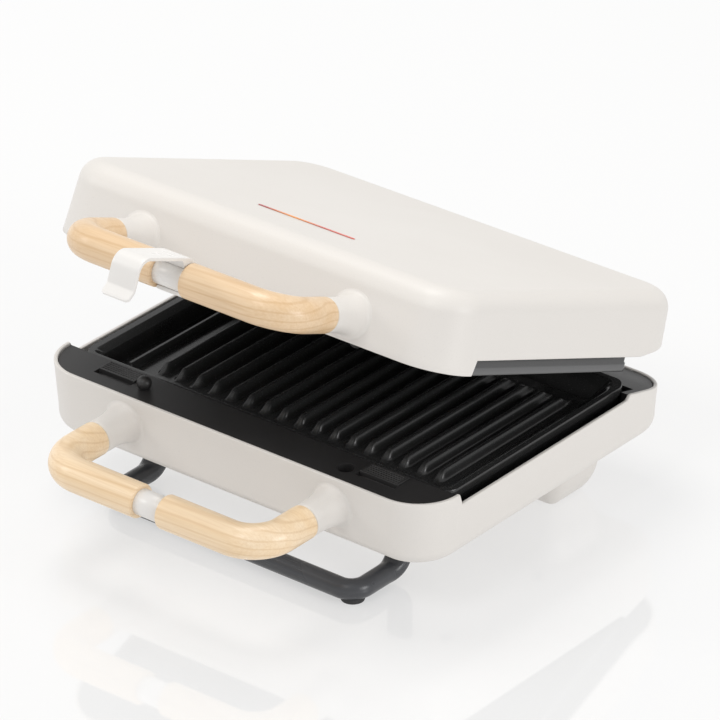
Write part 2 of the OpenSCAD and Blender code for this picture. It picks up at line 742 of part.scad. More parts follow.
module upper_bosses() color(cream) open_lid() difference() {
    boss(upper_bar_z);
    overturned() soft_body(body_w / 2, 0, lid_depth, corner_r,
        shell_section(lid_far_z, turned_lid_rim, lid_edge_r, draft, 0));
    block(-body_w, body_w, -1, boss_len, 0, lid_rim);
    for (s = [-1, 1]) rod_y(handle_screw_r + pin_fit, -boss_len + 2, 10, s * boss_x, upper_bar_z);
}

// Bent wooden grip with a blind socket in each end; side is -1 or 1
module grip(side, z, sleeve_half) {
    straight = boss_x - bend_r;
    difference() {
        union() {
            rod_y(grip_r, -bar_reach + bend_r, -boss_len, side * boss_x, z);
            translate([side * straight, -bar_reach + bend_r, z])
                rotate([0, 0, side == 1 ? 270 : 180])
                    rotate_extrude(angle = 90) translate([bend_r, 0]) circle(r = grip_r);
            rod_x(grip_r, side == 1 ? sleeve_half : -straight,
                side == 1 ? straight : -sleeve_half, -bar_reach, z);
        }
        rod_y(spigot_r + pin_fit, -boss_len - spigot_len - 0.5, -boss_len + 1, side * boss_x, z);
        rod_x(spigot_r + pin_fit, side == 1 ? 0 : -sleeve_half - spigot_len - 0.5,
            side == 1 ? sleeve_half + spigot_len + 0.5 : 0, -bar_reach, z);
    }
}

module sleeve(z, half) {
    rod_x(sleeve_r, -half, half, -bar_reach, z);
    rod_x(spigot_r, -half - spigot_len, half + spigot_len, -bar_reach, z);
}

module lower_grip_left() color(maple) centred() grip(-1, lower_bar_z, lower_sleeve_half);
module lower_grip_right() color(maple) centred() grip(1, lower_bar_z, lower_sleeve_half);
module upper_grip_left() color(maple) open_lid() grip(-1, upper_bar_z, upper_sleeve_half);
module upper_grip_right() color(maple) open_lid() grip(1, upper_bar_z, upper_sleeve_half);
module lower_sleeve() color(white) centred() sleeve(lower_bar_z, lower_sleeve_half);
module upper_sleeve() color(white) open_lid() sleeve(upper_bar_z, upper_sleeve_half);

// ---- Latch clip ----------------------------------------------------------

// Strip with a hooked end on a C-shaped collar that turns on the upper sleeve
module latch_clip() color(white) open_lid() translate([0, -bar_reach, upper_bar_z]) {
    outer = hook_reach + clip_t;
    top = strip_in + clip_t;
    corner = 9.5;
    turn = -7.5;
    collar_r = sleeve_r + pin_fit + collar_t;
    mouth_slope = tan(52);
    side_prism(concat([[5, top]],
        arc(corner - outer, top - corner, corner, 90, 180),
        [[-outer, turn], [tip_y, tip_z], [tip_y + 2.2, tip_z - 1.1], [-hook_reach, turn - 0.6]],
        arc(corner - outer, top - corner, corner - clip_t, 180, 90),
        [[5, strip_in]]), clip_w / 2);
    difference() {
        union() {
            rod_x(collar_r, -clip_w / 2, clip_w / 2, 0, 0);
            side_prism([[5, 4], [5, top], [-top, top], [-6, 4]], clip_w / 2);
        }
        rod_x(sleeve_r + pin_fit, -clip_w, clip_w, 0, 0);
        // Mouth of the collar, toward the front and below
        side_prism([[0, 0], [-2 * top / mouth_slope, 2 * top], [-outer, 2 * top], [-outer, -top],
            [-0.14 * top, -top]], clip_w);
    }
}

// ---- Feet ----------------------------------------------------------------

stand_x = body_w / 2 - stand_side;
stand_z = pad_t + stand_r;
rise_r = 12;
pad_r = 7.2;
pad_shift = 5;
pad_x = stand_x - pad_shift;
pad_y = stand_y + pad_shift;

module stand_bar() {
    for (s = [0, 1]) mirror([s, 0, 0]) {
        bend(stand_bend_r, stand_r, stand_x - stand_bend_r, stand_y + stand_bend_r, stand_z, 270);
        rod_y(stand_r, stand_y + stand_bend_r, stand_run, stand_x, stand_z);
        // Rise to the underside of the base
        translate([stand_x, stand_run, stand_z + rise_r]) rotate([90, 0, 90])
            rotate([0, 0, 270]) rotate_extrude(angle = 90) translate([rise_r, 0]) circle(r = stand_r);
        rod_z(stand_r, stand_z + rise_r, base_bottom, stand_x, stand_run + rise_r);
        // Foot plate screwed to the base
        block(stand_x - 8.5, stand_x + 8.5, stand_run + rise_r - 9, stand_run + rise_r + 14,
            base_bottom - 4, base_bottom);
    }
    rod_x(stand_r, -(stand_x - stand_bend_r), stand_x - stand_bend_r, stand_y, stand_z);
}

module front_stand() color(graphite) centred() stand_bar();

// Round pads cupped under the stand's corners
module stand_pads() color(rubber) centred() difference() {
    for (s = [-1, 1])
        rod_z(pad_r, 0, pad_t + 1.8, s * pad_x, pad_y);
    stand_bar();
}

// White plinth under the rear of the base, tapering to the floor
plinth_corner_r = 13;
function plinth_section(t) = [[10 + t, pad_t + t], [7.5 + t, 4 + t], [3.5 + t, 11], [0.8 + t, 18],
    [t, 24], [t, base_bottom + t]];

module rear_plinth() color(cream) centred() difference() {
    soft_body(plinth_half_w, plinth_y0, plinth_y1, plinth_corner_r, plinth_section(0));
    soft_body(plinth_half_w, plinth_y0, plinth_y1, plinth_corner_r, plinth_section(2.5));
}

plinth_pad_r = 8;
plinth_pad_in = 22;
module plinth_pads() color(rubber) centred()
    for (s = [-1, 1])
        rod_z(plinth_pad_r, 0, pad_t, s * (plinth_half_w - plinth_pad_in), (plinth_y0 + plinth_y1) / 2);

// ---- Wiring --------------------------------------------------------------

module cord_gland() color(black) centred() difference() {
    union() {
        rod_y(gland_r - pin_fit, base_depth - 9, base_depth + 2, gland_x, gland_z);
        difference() {
            rod_y(gland_r + gland_flange, base_depth - 4, base_depth + 2, gland_x, gland_z);
            soft_body(body_w / 2, 0, base_depth, corner_r,
                shell_section(base_bottom, base_rim, base_edge_r, draft, 0));
        }
    }
    rod_y(3.4, base_depth - 12, base_depth + 3, gland_x, gland_z);
}

// Three-way block on the floor of the base, under the rear deck
way_pitch = 12;
way_r = 2;
way_z = base_bottom + wall + 7;
block_x = -12;
block_half = 18;
block_y1 = pocket_back - 8.5;
block_y0 = block_y1 - 14;
module terminal_block() color(white) centred() difference() {
    block(block_x - block_half, block_x + block_half, block_y0, block_y1,
        base_bottom + wall, tray_bottom - 2);
    for (i = [-1 : 1]) rod_y(way_r, block_y0 - 1, block_y1 + 1, block_x + i * way_pitch, way_z);
}

// ---- Trim and screws -----------------------------------------------------

stripe_x0 = -36.5;
stripe_x1 = 36;
stripe_y = 49.5;
module accent_stripe() color([0.93, 0.42, 0.25]) open_lid()
    block(stripe_x0, stripe_x1, stripe_y, stripe_y + 1.5, lid_top, lid_top + 0.2);

module base_screws() color(steel) centred()
    for (s = screw_spots) {
        rod_z(screw_head_r, base_bottom - screw_head_t, base_bottom, s[0], s[1]);
        rod_z(screw_r, base_bottom, base_screw_end - 1, s[0], s[1]);
    }

module lid_screws() color(steel) open_lid() overturned()
    for (s = screw_spots) {
        rod_z(screw_head_r, tray_top, tray_top + screw_head_t, s[0], s[1]);
        rod_z(screw_r, lid_screw_end + 1, tray_top, s[0], s[1]);
    }

// Inner face of a shell's wall at height z
function wall_inner(z, far_z, rim_z, edge) =
    wall + draft * (rim_z - z) / (rim_z - far_z - edge - 2);

module handle_screws(z, seat) {
    for (s = [-1, 1]) {
        rod_y(handle_head_r, seat, seat + handle_head_t, s * boss_x, z);
        rod_y(handle_screw_r, -boss_len + 3.5, seat, s * boss_x, z);
    }
}

module lower_handle_screws() color(steel) centred()
    handle_screws(lower_bar_z, wall_inner(lower_bar_z, base_bottom, base_rim, base_edge_r) + fit);

module upper_handle_screws() color(steel) open_lid()
    handle_screws(upper_bar_z,
        wall_inner(2 * mid_z - upper_bar_z, lid_far_z, turned_lid_rim, lid_edge_r) + fit);

base_shell();
base_frame();
base_reflector();
base_heater();
base_cradles();
base_release_left();
base_release_right();
base_post();
lower_plate();
hinge_brackets();
hinge_pins();
thermostat();
terminal_block();
cord_gland();
front_stand();
stand_pads();
rear_plinth();
plinth_pads();
lower_bosses();
lower_grip_left();
lower_grip_right();
lower_sleeve();
base_screws();
lower_handle_screws();
lid_shell();
lid_frame();
lid_reflector();
lid_heater();
lid_cradles();
lid_release_left();
lid_release_right();
lid_post();
upper_plate();
lid_hinge_arms();
thermal_fuse();
accent_stripe();
upper_bosses();
upper_grip_left();
upper_grip_right();
upper_sleeve();
lid_screws();
upper_handle_screws();
latch_clip();
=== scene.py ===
# Sandwich toaster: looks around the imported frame. The frame is in metres, front toward -Y and up
# +Z; the shapes below are in millimetres and become metres in atBase and atLid.
import json
import math

import bmesh
import bpy
import numpy as np
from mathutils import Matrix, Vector


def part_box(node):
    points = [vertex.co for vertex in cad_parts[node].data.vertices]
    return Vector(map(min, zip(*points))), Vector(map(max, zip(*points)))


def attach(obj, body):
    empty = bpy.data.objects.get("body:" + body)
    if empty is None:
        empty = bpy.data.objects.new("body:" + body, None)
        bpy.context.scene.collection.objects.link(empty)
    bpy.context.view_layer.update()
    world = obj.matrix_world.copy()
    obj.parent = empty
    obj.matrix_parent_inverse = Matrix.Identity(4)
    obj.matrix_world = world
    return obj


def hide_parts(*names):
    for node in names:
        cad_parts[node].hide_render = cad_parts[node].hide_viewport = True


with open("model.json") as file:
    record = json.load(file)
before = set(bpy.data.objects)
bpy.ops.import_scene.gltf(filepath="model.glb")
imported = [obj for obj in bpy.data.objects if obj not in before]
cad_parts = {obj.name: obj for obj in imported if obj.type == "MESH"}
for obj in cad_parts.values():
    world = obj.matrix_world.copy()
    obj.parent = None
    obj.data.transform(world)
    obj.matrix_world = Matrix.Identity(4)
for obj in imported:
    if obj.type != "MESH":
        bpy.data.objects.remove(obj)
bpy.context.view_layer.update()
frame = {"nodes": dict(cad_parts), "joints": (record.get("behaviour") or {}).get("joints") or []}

mm = 0.001

# Read from the frame: the hinge, how far the lid stands open at rest, and the base's front face.
lidHinge = next(j for j in frame["joints"] if j["name"] == "lid_hinge")
hinge = np.array(lidHinge["pos_m"])
openAngle = math.radians(-lidHinge["range_deg"][0])
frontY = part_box("base_shell")[0][1]
lidSpin = np.array([[1, 0, 0],
                    [0, math.cos(openAngle), math.sin(openAngle)],
                    [0, -math.sin(openAngle), math.cos(openAngle)]])


# Local y counts back from the base's front face, z up from the floor.
def atBase(points):
    out = np.array(points, float) * mm
    out[..., 1] += frontY
    return out


# Closed-lid coordinates turned about the hinge to the rest angle.
def atLid(points):
    return (atBase(points) - hinge) @ lidSpin.T + hinge


# Object from its data, linked into the scene.
def linked(name, data):
    obj = bpy.data.objects.new(name, data)
    bpy.context.scene.collection.objects.link(obj)
    return obj


# Mesh from an (n, 3) array, an (m, 4) array of quads and closing loops. The faces are turned
# outward by the sign of the enclosed volume, and edges past sharp degrees stay crisp.
def addMesh(name, points, quads, fans, sharp):
    points = np.ascontiguousarray(points, np.float64)
    quads = np.asarray(quads, np.int64).reshape(-1, 4)
    p = points - points.mean(0)
    a, b, c, d = (p[quads[:, k]] for k in range(4))
    volume = (np.cross(a, b) * c).sum() + (np.cross(a, c) * d).sum()
    for loop in fans:
        ring = p[loop]
        volume += (np.cross(ring[1:-1], ring[2:]) * ring[0]).sum()
    if volume < 0:
        quads = quads[:, ::-1]
        fans = [loop[::-1] for loop in fans]
    loops = np.concatenate([quads.ravel()] + [np.asarray(f, np.int64) for f in fans])
    sizes = np.array([4] * len(quads) + [len(f) for f in fans], np.int64)
    starts = np.concatenate([[0], np.cumsum(sizes)[:-1]])
    mesh = bpy.data.meshes.new(name)
    mesh.vertices.add(len(points))
    mesh.vertices.foreach_set("co", points.ravel())
    mesh.loops.add(len(loops))
    mesh.loops.foreach_set("vertex_index", loops.astype(np.int32))
    mesh.polygons.add(len(sizes))
    mesh.polygons.foreach_set("loop_start", starts.astype(np.int32))
    mesh.update(calc_edges=True)
    mesh.validate()
    mesh.polygons.foreach_set("use_smooth", np.ones(len(mesh.polygons), bool))
    mesh.set_sharp_from_angle(angle=math.radians(sharp))
    return linked(name, mesh)


# Quads between the points of a rows x cols grid stored row by row, open or closed round its rows.
def gridQuads(rows, cols, closed):
    i, j = np.meshgrid(np.arange(rows - 1), np.arange(cols if closed else cols - 1), indexing="ij")
    j2 = (j + 1) % cols
    return np.stack([i * cols + j, i * cols + j2, (i + 1) * cols + j2, (i + 1) * cols + j],
                    -1).reshape(-1, 4)


# Closed rings, shape (rows, cols, 3), joined in order; end rings become faces.
def loft(name, rings, sharp=50.0):
    rows, cols = rings.shape[:2]
    ends = [np.arange(cols)[::-1], (rows - 1) * cols + np.arange(cols)]
    return addMesh(name, rings.reshape(-1, 3), gridQuads(rows, cols, True), ends, sharp)


# One object from several, kept as separate closed shells in one mesh.
def joined(name, parts, sharp=50.0):
    build = bmesh.new()
    for part in parts:
        build.from_mesh(part.data)
        bpy.data.objects.remove(part)
    mesh = bpy.data.meshes.new(name)
    build.to_mesh(mesh)
    build.free()
    mesh.set_sharp_from_angle(angle=math.radians(sharp))
    return linked(name, mesh)


# Finish and body of a piece, and the CAD nodes it stands for. The slot argument is not used.
def dressed(obj, body, slot, material, *replaced):
    obj.data.materials.clear()
    obj.data.materials.append(material)
    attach(obj, body)
    if replaced:
        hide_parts(*replaced)
    return obj


# Ease from 0 to 1: three t squared minus two t cubed.
def smooth(t):
    t = np.clip(t, 0, 1)
    return t * t * (3 - 2 * t)


# Arc from angle a to b in degrees, as (n, 2) points.
def arcPoints(cx, cz, r, a, b, n):
    t = np.radians(np.linspace(a, b, n))
    return np.stack([cx + r * np.cos(t), cz + r * np.sin(t)], -1)


# Camera, floor and light.
view = {
    "azimuth": 38.835,       # degrees, toward the right
    "elevation": 28.17,
    "distance": 3.6527,
    "aim": (0.0, 0.1224 + frontY, 0.0827),
    "lens": 305.19,
    "sensor": 36.0,
    "shiftX": 0.00479,
    "shiftY": -0.00322,
}


# Camera on a sphere round its aim: azimuth round from the front, elevation up from level.
def placeCamera(v):
    az, el = math.radians(v["azimuth"]), math.radians(v["elevation"])
    back = Vector((math.sin(az) * math.cos(el), -math.cos(az) * math.cos(el), math.sin(el)))
    data = bpy.data.cameras.new("camera")
    data.lens, data.sensor_width = v["lens"], v["sensor"]
    data.shift_x, data.shift_y = v["shiftX"], v["shiftY"]
    data.clip_end = 50
    cam = linked("camera", data)
    cam.location = Vector(v["aim"]) + back * v["distance"]
    cam.rotation_euler = (-back).to_track_quat("-Z", "Y").to_euler()
    bpy.context.scene.camera = cam


placeCamera(view)

studio = {
    "worldColor": (1.0, 1.0, 1.0),
    "worldStrength": 0.70,
    "floorSize": 30.0,
    "floorColor": (0.33, 0.33, 0.33),
    "floorGlow": 0.53,
    "floorRoughness": 0.04,
    "floorIor": 1.8,
    # name: (place, aim, size, watts, colour)
    "areas": {
        "topSoftbox": ((-0.6, 0.3, 2.4), (0, 0.05, 0.1), 1.0, 21, (1.0, 0.99, 0.96)),
        "leftSoftbox": ((-2.2, -1.5, 1.5), (0, 0, 0.12), 0.9, 11, (1.0, 0.99, 0.98)),
        "frontFill": ((0.1, -1.9, 2.5), (0, 0, 0.1), 1.1, 13, (1.0, 1.0, 1.0)),
        "rightSoftbox": ((2.6, 0.1, 0.9), (0, 0, 0.1), 1.1, 19, (1.0, 1.0, 1.0)),
    },
}


# White world, round lamps turned to their aims, and a glossy floor that glows a little.
def lightStudio(s):
    world = bpy.data.worlds.new("studio")
    world.use_nodes = True
    background = world.node_tree.nodes["Background"]
    background.inputs["Color"].default_value = (*s["worldColor"], 1)
    background.inputs["Strength"].default_value = s["worldStrength"]
    bpy.context.scene.world = world
    for name, (place, aim, size, watts, color) in s["areas"].items():
        data = bpy.data.lights.new(name, "AREA")
        data.shape, data.size, data.energy, data.color = "DISK", size, watts, color
        lamp = linked(name, data)
        lamp.location = place
        lamp.rotation_euler = (Vector(aim) - Vector(place)).to_track_quat("-Z", "Y").to_euler()
    half = s["floorSize"] / 2
    mesh = bpy.data.meshes.new("floor")
    mesh.from_pydata([(-half, -half, 0), (half, -half, 0), (half, half, 0), (-half, half, 0)],
                     [], [(0, 1, 2, 3)])
    mat = bpy.data.materials.new("paleFloor")
    mat.use_nodes = True
    shader = mat.node_tree.nodes["Principled BSDF"]
    shader.inputs["Base Color"].default_value = (*s["floorColor"], 1)
    shader.inputs["Roughness"].default_value = s["floorRoughness"]
    shader.inputs["IOR"].default_value = s["floorIor"]
    shader.inputs["Emission Color"].default_value = (1.0, 1.0, 1.0, 1)
    shader.inputs["Emission Strength"].default_value = s["floorGlow"]
    mesh.materials.append(mat)
    linked("floor", mesh)
    bpy.context.scene.view_settings.view_transform = "Standard"


lightStudio(studio)
print("camera, floor and light are in place")


# Empty node group with its inputs as (name, kind, value) and its outputs as (name, kind).
def newGroup(name, inputs, outputs):
    tree = bpy.data.node_groups.new(name, "ShaderNodeTree")
    for label, kind, value in inputs:
        socket = tree.interface.new_socket(name=label, in_out="INPUT", socket_type=kind)
        if value is not None:
            socket.default_value = value
    for label, kind in outputs:
        tree.interface.new_socket(name=label, in_out="OUTPUT", socket_type=kind)
    return tree, tree.nodes.new("NodeGroupInput"), tree.nodes.new("NodeGroupOutput")


# A node with its properties, and inputs given as values or as sockets to link.
def addNode(tree, kind, inputs=None, **props):
    node = tree.nodes.new(kind)
    for key, value in props.items():
        setattr(node, key, value)
    for key, value in (inputs or {}).items():
        if isinstance(value, bpy.types.NodeSocket):
            tree.links.new(value, node.inputs[key])
        else:
            node.inputs[key].default_value = value
    return node


# One sum of a and b, or of a alone where the operation takes one value.
def mathNode(tree, operation, a, b=0.5, clamp=False):
    return addNode(tree, "ShaderNodeMath", {0: a, 1: b}, operation=operation,
                   use_clamp=clamp).outputs[0]


def noiseAt(tree, vector, scale, detail=2.0, roughness=0.5):
    return addNode(tree, "ShaderNodeTexNoise", {"Vector": vector, "Scale": scale,
                   "Detail": detail, "Roughness": roughness})


# Vector scaled, turned and moved, in that order.
def mapped(tree, vector, scale=(1.0, 1.0, 1.0), turn=(0.0, 0.0, 0.0), move=(0.0, 0.0, 0.0)):
    return addNode(tree, "ShaderNodeMapping", {"Vector": vector, "Scale": scale, "Rotation": turn,
                   "Location": move}).outputs["Vector"]


# Value carried in a straight line from the span low to high to the span toLow to toHigh.
def spread(tree, value, low, high, toLow=0.0, toHigh=1.0):
    return addNode(tree, "ShaderNodeMapRange", {"Value": value, "From Min": low, "From Max": high,
                   "To Min": toLow, "To Max": toHigh}).outputs["Result"]


# Colour a mixed or multiplied with colour b by the factor.
def blendColor(tree, factor, a, b, mode="MIX"):
    node = tree.nodes.new("ShaderNodeMix")
    node.data_type = "RGBA"
    node.blend_type = mode
    for key, value in (("Factor_Float", factor), ("A_Color", a), ("B_Color", b)):
        socket = next(s for s in node.inputs if s.identifier == key)
        if isinstance(value, bpy.types.NodeSocket):
            tree.links.new(value, socket)
        else:
            socket.default_value = value
    return next(s for s in node.outputs if s.identifier == "Result_Color")


# Two sizes of noise: the height of a moulded or sprayed surface, and a slow cloud.
def makeGrainGroup():
    tree, gi, go = newGroup("surfaceGrain", [
        ("Vector", "NodeSocketVector", None), ("Grain Scale", "NodeSocketFloat", 2400.0),
        ("Cloud Scale", "NodeSocketFloat", 14.0)],
        [("Grain", "NodeSocketFloat"), ("Cloud", "NodeSocketFloat")])
    v = gi.outputs["Vector"]
    fine = noiseAt(tree, v, gi.outputs["Grain Scale"], 2.0, 0.6)
    cloud = noiseAt(tree, v, gi.outputs["Cloud Scale"], 3.0, 0.55)
    tree.links.new(fine.outputs["Fac"], go.inputs["Grain"])
    tree.links.new(cloud.outputs["Fac"], go.inputs["Cloud"])
    return tree


# Sparse fine scratches: noise stretched along two slanted directions and thresholded.
def makeScuffGroup():
    tree, gi, go = newGroup("fineScuffs", [
        ("Vector", "NodeSocketVector", None), ("Scale", "NodeSocketFloat", 60.0),
        ("Amount", "NodeSocketFloat", 0.3)],
        [("Mask", "NodeSocketFloat")])
    marks = []
    for angle in (0.5, 2.1):
        turned = mapped(tree, gi.outputs["Vector"], (1.0, 22.0, 22.0), (0.2, 0.3, angle))
        streak = noiseAt(tree, turned, gi.outputs["Scale"], 1.0)
        marks.append(spread(tree, streak.outputs["Fac"], 0.66, 0.74))
    both = mathNode(tree, "MAXIMUM", marks[0], marks[1])
    patch = noiseAt(tree, gi.outputs["Vector"], 9.0)
    place = spread(tree, patch.outputs["Fac"], 0.5, 0.7)
    mask = mathNode(tree, "MULTIPLY", mathNode(tree, "MULTIPLY", both, place),
                    gi.outputs["Amount"], True)
    tree.links.new(mask, go.inputs["Mask"])
    return tree


grainGroup = makeGrainGroup()
scuffGroup = makeScuffGroup()


# A shared group placed in a tree with its own values.
def useGroup(tree, group, inputs):
    return addNode(tree, "ShaderNodeGroup", inputs, node_tree=group)


# Principled material with its constants, its tree, its shader and Object coordinates.
def newMaterial(name, **sockets):
    mat = bpy.data.materials.new(name)
    mat.use_nodes = True
    tree = mat.node_tree
    shader = tree.nodes["Principled BSDF"]
    for key, value in sockets.items():
        shader.inputs[key.replace("_", " ")].default_value = value
    where = tree.nodes.new("ShaderNodeTexCoord").outputs["Object"]
    return mat, tree, shader, where


# Colour that drifts with a slow cloud, fine bumps from the grain, and scuffs in the gloss. A
# speckle is (scale, from, to, colour): a finer noise that tints the spots where it is high.
def grainedMaterial(name, color, shade, rough, roughSpread, grain, cloud, bump, depth=0.0001,
                    scuffs=0.0, speckle=None, **sockets):
    mat, tree, shader, where = newMaterial(name, **sockets)
    noise = useGroup(tree, grainGroup, {"Vector": where, "Grain Scale": grain,
                                        "Cloud Scale": cloud})
    tone = blendColor(tree, spread(tree, noise.outputs["Cloud"], 0.3, 0.7), (*color, 1),
                      (*shade, 1))
    if speckle:
        scale, low, high, tint = speckle
        dots = noiseAt(tree, where, scale, 2.0, 0.7)
        tone = blendColor(tree, spread(tree, dots.outputs["Fac"], low, high), tone, (*tint, 1))
    tree.links.new(tone, shader.inputs["Base Color"])
    gloss = spread(tree, noise.outputs["Cloud"], 0.3, 0.7, rough - roughSpread,
                   rough + roughSpread)
    if scuffs:
        marks = useGroup(tree, scuffGroup, {"Vector": where, "Amount": scuffs})
        gloss = mathNode(tree, "ADD", gloss, marks.outputs["Mask"], True)
    tree.links.new(gloss, shader.inputs["Roughness"])
    bumps = addNode(tree, "ShaderNodeBump", {"Height": noise.outputs["Grain"],
                    "Strength": bump, "Distance": depth})
    tree.links.new(bumps.outputs["Normal"], shader.inputs["Normal"])
    return mat


# Finishes. Colours are linear; grain and cloud are the noises' scales on metres.
creamPaint = grainedMaterial(
    "creamPaint", color=(0.715, 0.685, 0.65), shade=(0.70, 0.67, 0.635), rough=0.44,
    roughSpread=0.03, grain=900.0, cloud=9.0, bump=0.10, depth=0.0002, scuffs=0.03,
    speckle=(1500.0, 0.60, 0.75, (0.65, 0.62, 0.585)))
whiteGloss = grainedMaterial(
    "whiteGloss", color=(0.78, 0.76, 0.735), shade=(0.75, 0.73, 0.705), rough=0.28,
    roughSpread=0.04, grain=2600.0, cloud=25.0, bump=0.05)
blackFrame = grainedMaterial(
    "blackFrame", color=(0.020, 0.019, 0.019), shade=(0.027, 0.026, 0.026), rough=0.44,
    roughSpread=0.04, grain=2200.0, cloud=14.0, bump=0.25, depth=0.0002, scuffs=0.05)
plateCoating = grainedMaterial(
    "plateCoating", color=(0.020, 0.020, 0.020), shade=(0.027, 0.027, 0.027), rough=0.19,
    roughSpread=0.03, grain=2600.0, cloud=12.0, bump=0.10,
    speckle=(1500.0, 0.60, 0.72, (0.07, 0.07, 0.072)))
graphiteBar = grainedMaterial(
    "graphiteBar", color=(0.040, 0.042, 0.047), shade=(0.052, 0.054, 0.060), rough=0.27,
    roughSpread=0.04, grain=2200.0, cloud=18.0, bump=0.20, depth=0.0002, scuffs=0.05)
rubberPad = grainedMaterial(
    "rubberPad", color=(0.022, 0.022, 0.023), shade=(0.035, 0.035, 0.036), rough=0.75,
    roughSpread=0.06, grain=1500.0, cloud=40.0, bump=0.30, depth=0.0003)
brushedSteel = grainedMaterial(
    "brushedSteel", color=(0.52, 0.52, 0.53), shade=(0.60, 0.60, 0.61), rough=0.30,
    roughSpread=0.06, grain=2000.0, cloud=30.0, bump=0.12, scuffs=0.3, Metallic=1.0)
sheathSteel = grainedMaterial(
    "sheathSteel", color=(0.20, 0.17, 0.14), shade=(0.30, 0.27, 0.24), rough=0.48,
    roughSpread=0.08, grain=1700.0, cloud=45.0, bump=0.15, Metallic=1.0)
paleCeramic = grainedMaterial(
    "paleCeramic", color=(0.72, 0.70, 0.65), shade=(0.66, 0.64, 0.58), rough=0.55,
    roughSpread=0.06, grain=1600.0, cloud=35.0, bump=0.20, depth=0.0002)


# The coating with paler walls, a painted reflection of the bright room on the plate's sides: a face
# counts as a wall as its normal nears square to up.
def makePaintedWallSheen(up, sheenTint):
    mat = plateCoating.copy()
    mat.name = "wallSheenCoating"
    tree = mat.node_tree
    tint = tree.nodes["Principled BSDF"].inputs["Base Color"]
    normal = tree.nodes.new("ShaderNodeTexCoord").outputs["Normal"]
    along = addNode(tree, "ShaderNodeVectorMath", {0: normal, 1: up},
                    operation="DOT_PRODUCT").outputs["Value"]
    wall = spread(tree, mathNode(tree, "ABSOLUTE", along), 0.4, 0.2, 0.0, 0.8)
    # The pale grey mixed in on the walls is painted reflection.
    tree.links.new(blendColor(tree, wall, tint.links[0].from_socket, sheenTint), tint)
    return mat


wallSheenCoating = makePaintedWallSheen(tuple(lidSpin @ [0, 0, 1]), (0.12, 0.12, 0.122, 1))


# Board cut along X. Rings are sine waves of the distance from a pith line far below, swayed by
# slow noise; fibres are fine noise drawn out along X, and a broad one drifts the board's tone.
def makeWoodGroup():
    tree, gi, go = newGroup("boardWood", [
        ("Vector", "NodeSocketVector", None), ("Ring Scale", "NodeSocketFloat", 1350.0)],
        [("Color", "NodeSocketColor"), ("Gloss", "NodeSocketFloat"), ("Height", "NodeSocketFloat")])
    v = gi.outputs["Vector"]
    sway = noiseAt(tree, mapped(tree, v, (3.0, 22.0, 22.0)), 1.0)
    swayed = addNode(tree, "ShaderNodeVectorMath", {0: sway.outputs["Color"], 1: (0.0, 0.011, 0.011)},
                     operation="MULTIPLY")
    moved = addNode(tree, "ShaderNodeVectorMath", {0: v, 1: swayed.outputs["Vector"]},
                    operation="ADD")
    fromPith = mapped(tree, moved.outputs["Vector"], turn=(0.0, 0.035, 0.02), move=(0.0, 0.20, 0.30))
    split = addNode(tree, "ShaderNodeSeparateXYZ", {"Vector": fromPith})
    y2 = mathNode(tree, "MULTIPLY", split.outputs["Y"], split.outputs["Y"])
    z2 = mathNode(tree, "MULTIPLY", split.outputs["Z"], split.outputs["Z"])
    radius = mathNode(tree, "SQRT", mathNode(tree, "ADD", y2, z2))
    phase = mathNode(tree, "MULTIPLY", radius, gi.outputs["Ring Scale"])
    late = spread(tree, mathNode(tree, "SINE", phase), 0.6, 1.0)
    fibre = noiseAt(tree, mapped(tree, v, (26.0, 900.0, 900.0)), 1.0, 3.0, 0.65)
    band = noiseAt(tree, mapped(tree, v, (7.0, 110.0, 110.0)), 1.0)
    streak = spread(tree, fibre.outputs["Fac"], 0.35, 0.68)
    tone = blendColor(tree, spread(tree, band.outputs["Fac"], 0.3, 0.7),
                      (0.90, 0.73, 0.525, 1), (0.85, 0.645, 0.415, 1))
    tone = blendColor(tree, mathNode(tree, "MULTIPLY", late, 0.32), tone, (0.60, 0.38, 0.18, 1))
    tone = blendColor(tree, mathNode(tree, "MULTIPLY", streak, 0.34), tone, (0.66, 0.44, 0.23, 1))
    tree.links.new(tone, go.inputs["Color"])
    tree.links.new(spread(tree, fibre.outputs["Fac"], 0.3, 0.7, 0.30, 0.42), go.inputs["Gloss"])
    height = mathNode(tree, "SUBTRACT", fibre.outputs["Fac"], mathNode(tree, "MULTIPLY", late, 0.3))
    tree.links.new(height, go.inputs["Height"])
    return tree


# Maple with a tint over the shared grain; a darker tint stands for painted shade.
def makeWood(name, tint):
    mat, tree, shader, where = newMaterial(name, Specular_IOR_Level=0.4, Coat_Weight=0.3,
                                           Coat_Roughness=0.22)
    wood = useGroup(tree, woodGroup, {"Vector": where})
    tinted = blendColor(tree, 1.0, wood.outputs["Color"], (*tint, 1), "MULTIPLY")
    tree.links.new(tinted, shader.inputs["Base Color"])
    tree.links.new(wood.outputs["Gloss"], shader.inputs["Roughness"])
    bump = addNode(tree, "ShaderNodeBump", {"Height": wood.outputs["Height"], "Strength": 0.12,
                   "Distance": 0.0003})
    tree.links.new(bump.outputs["Normal"], shader.inputs["Normal"])
    return mat


woodGroup = makeWoodGroup()
# The upper grips' darker tint is painted shade, a shaded copy of the lower grips' maple.
mapleWood = {"lower": makeWood("mapleWoodPlain", (1.0, 1.0, 1.0)),
             "upper": makeWood("mapleWoodPaintedShade", (0.87, 0.82, 0.77))}


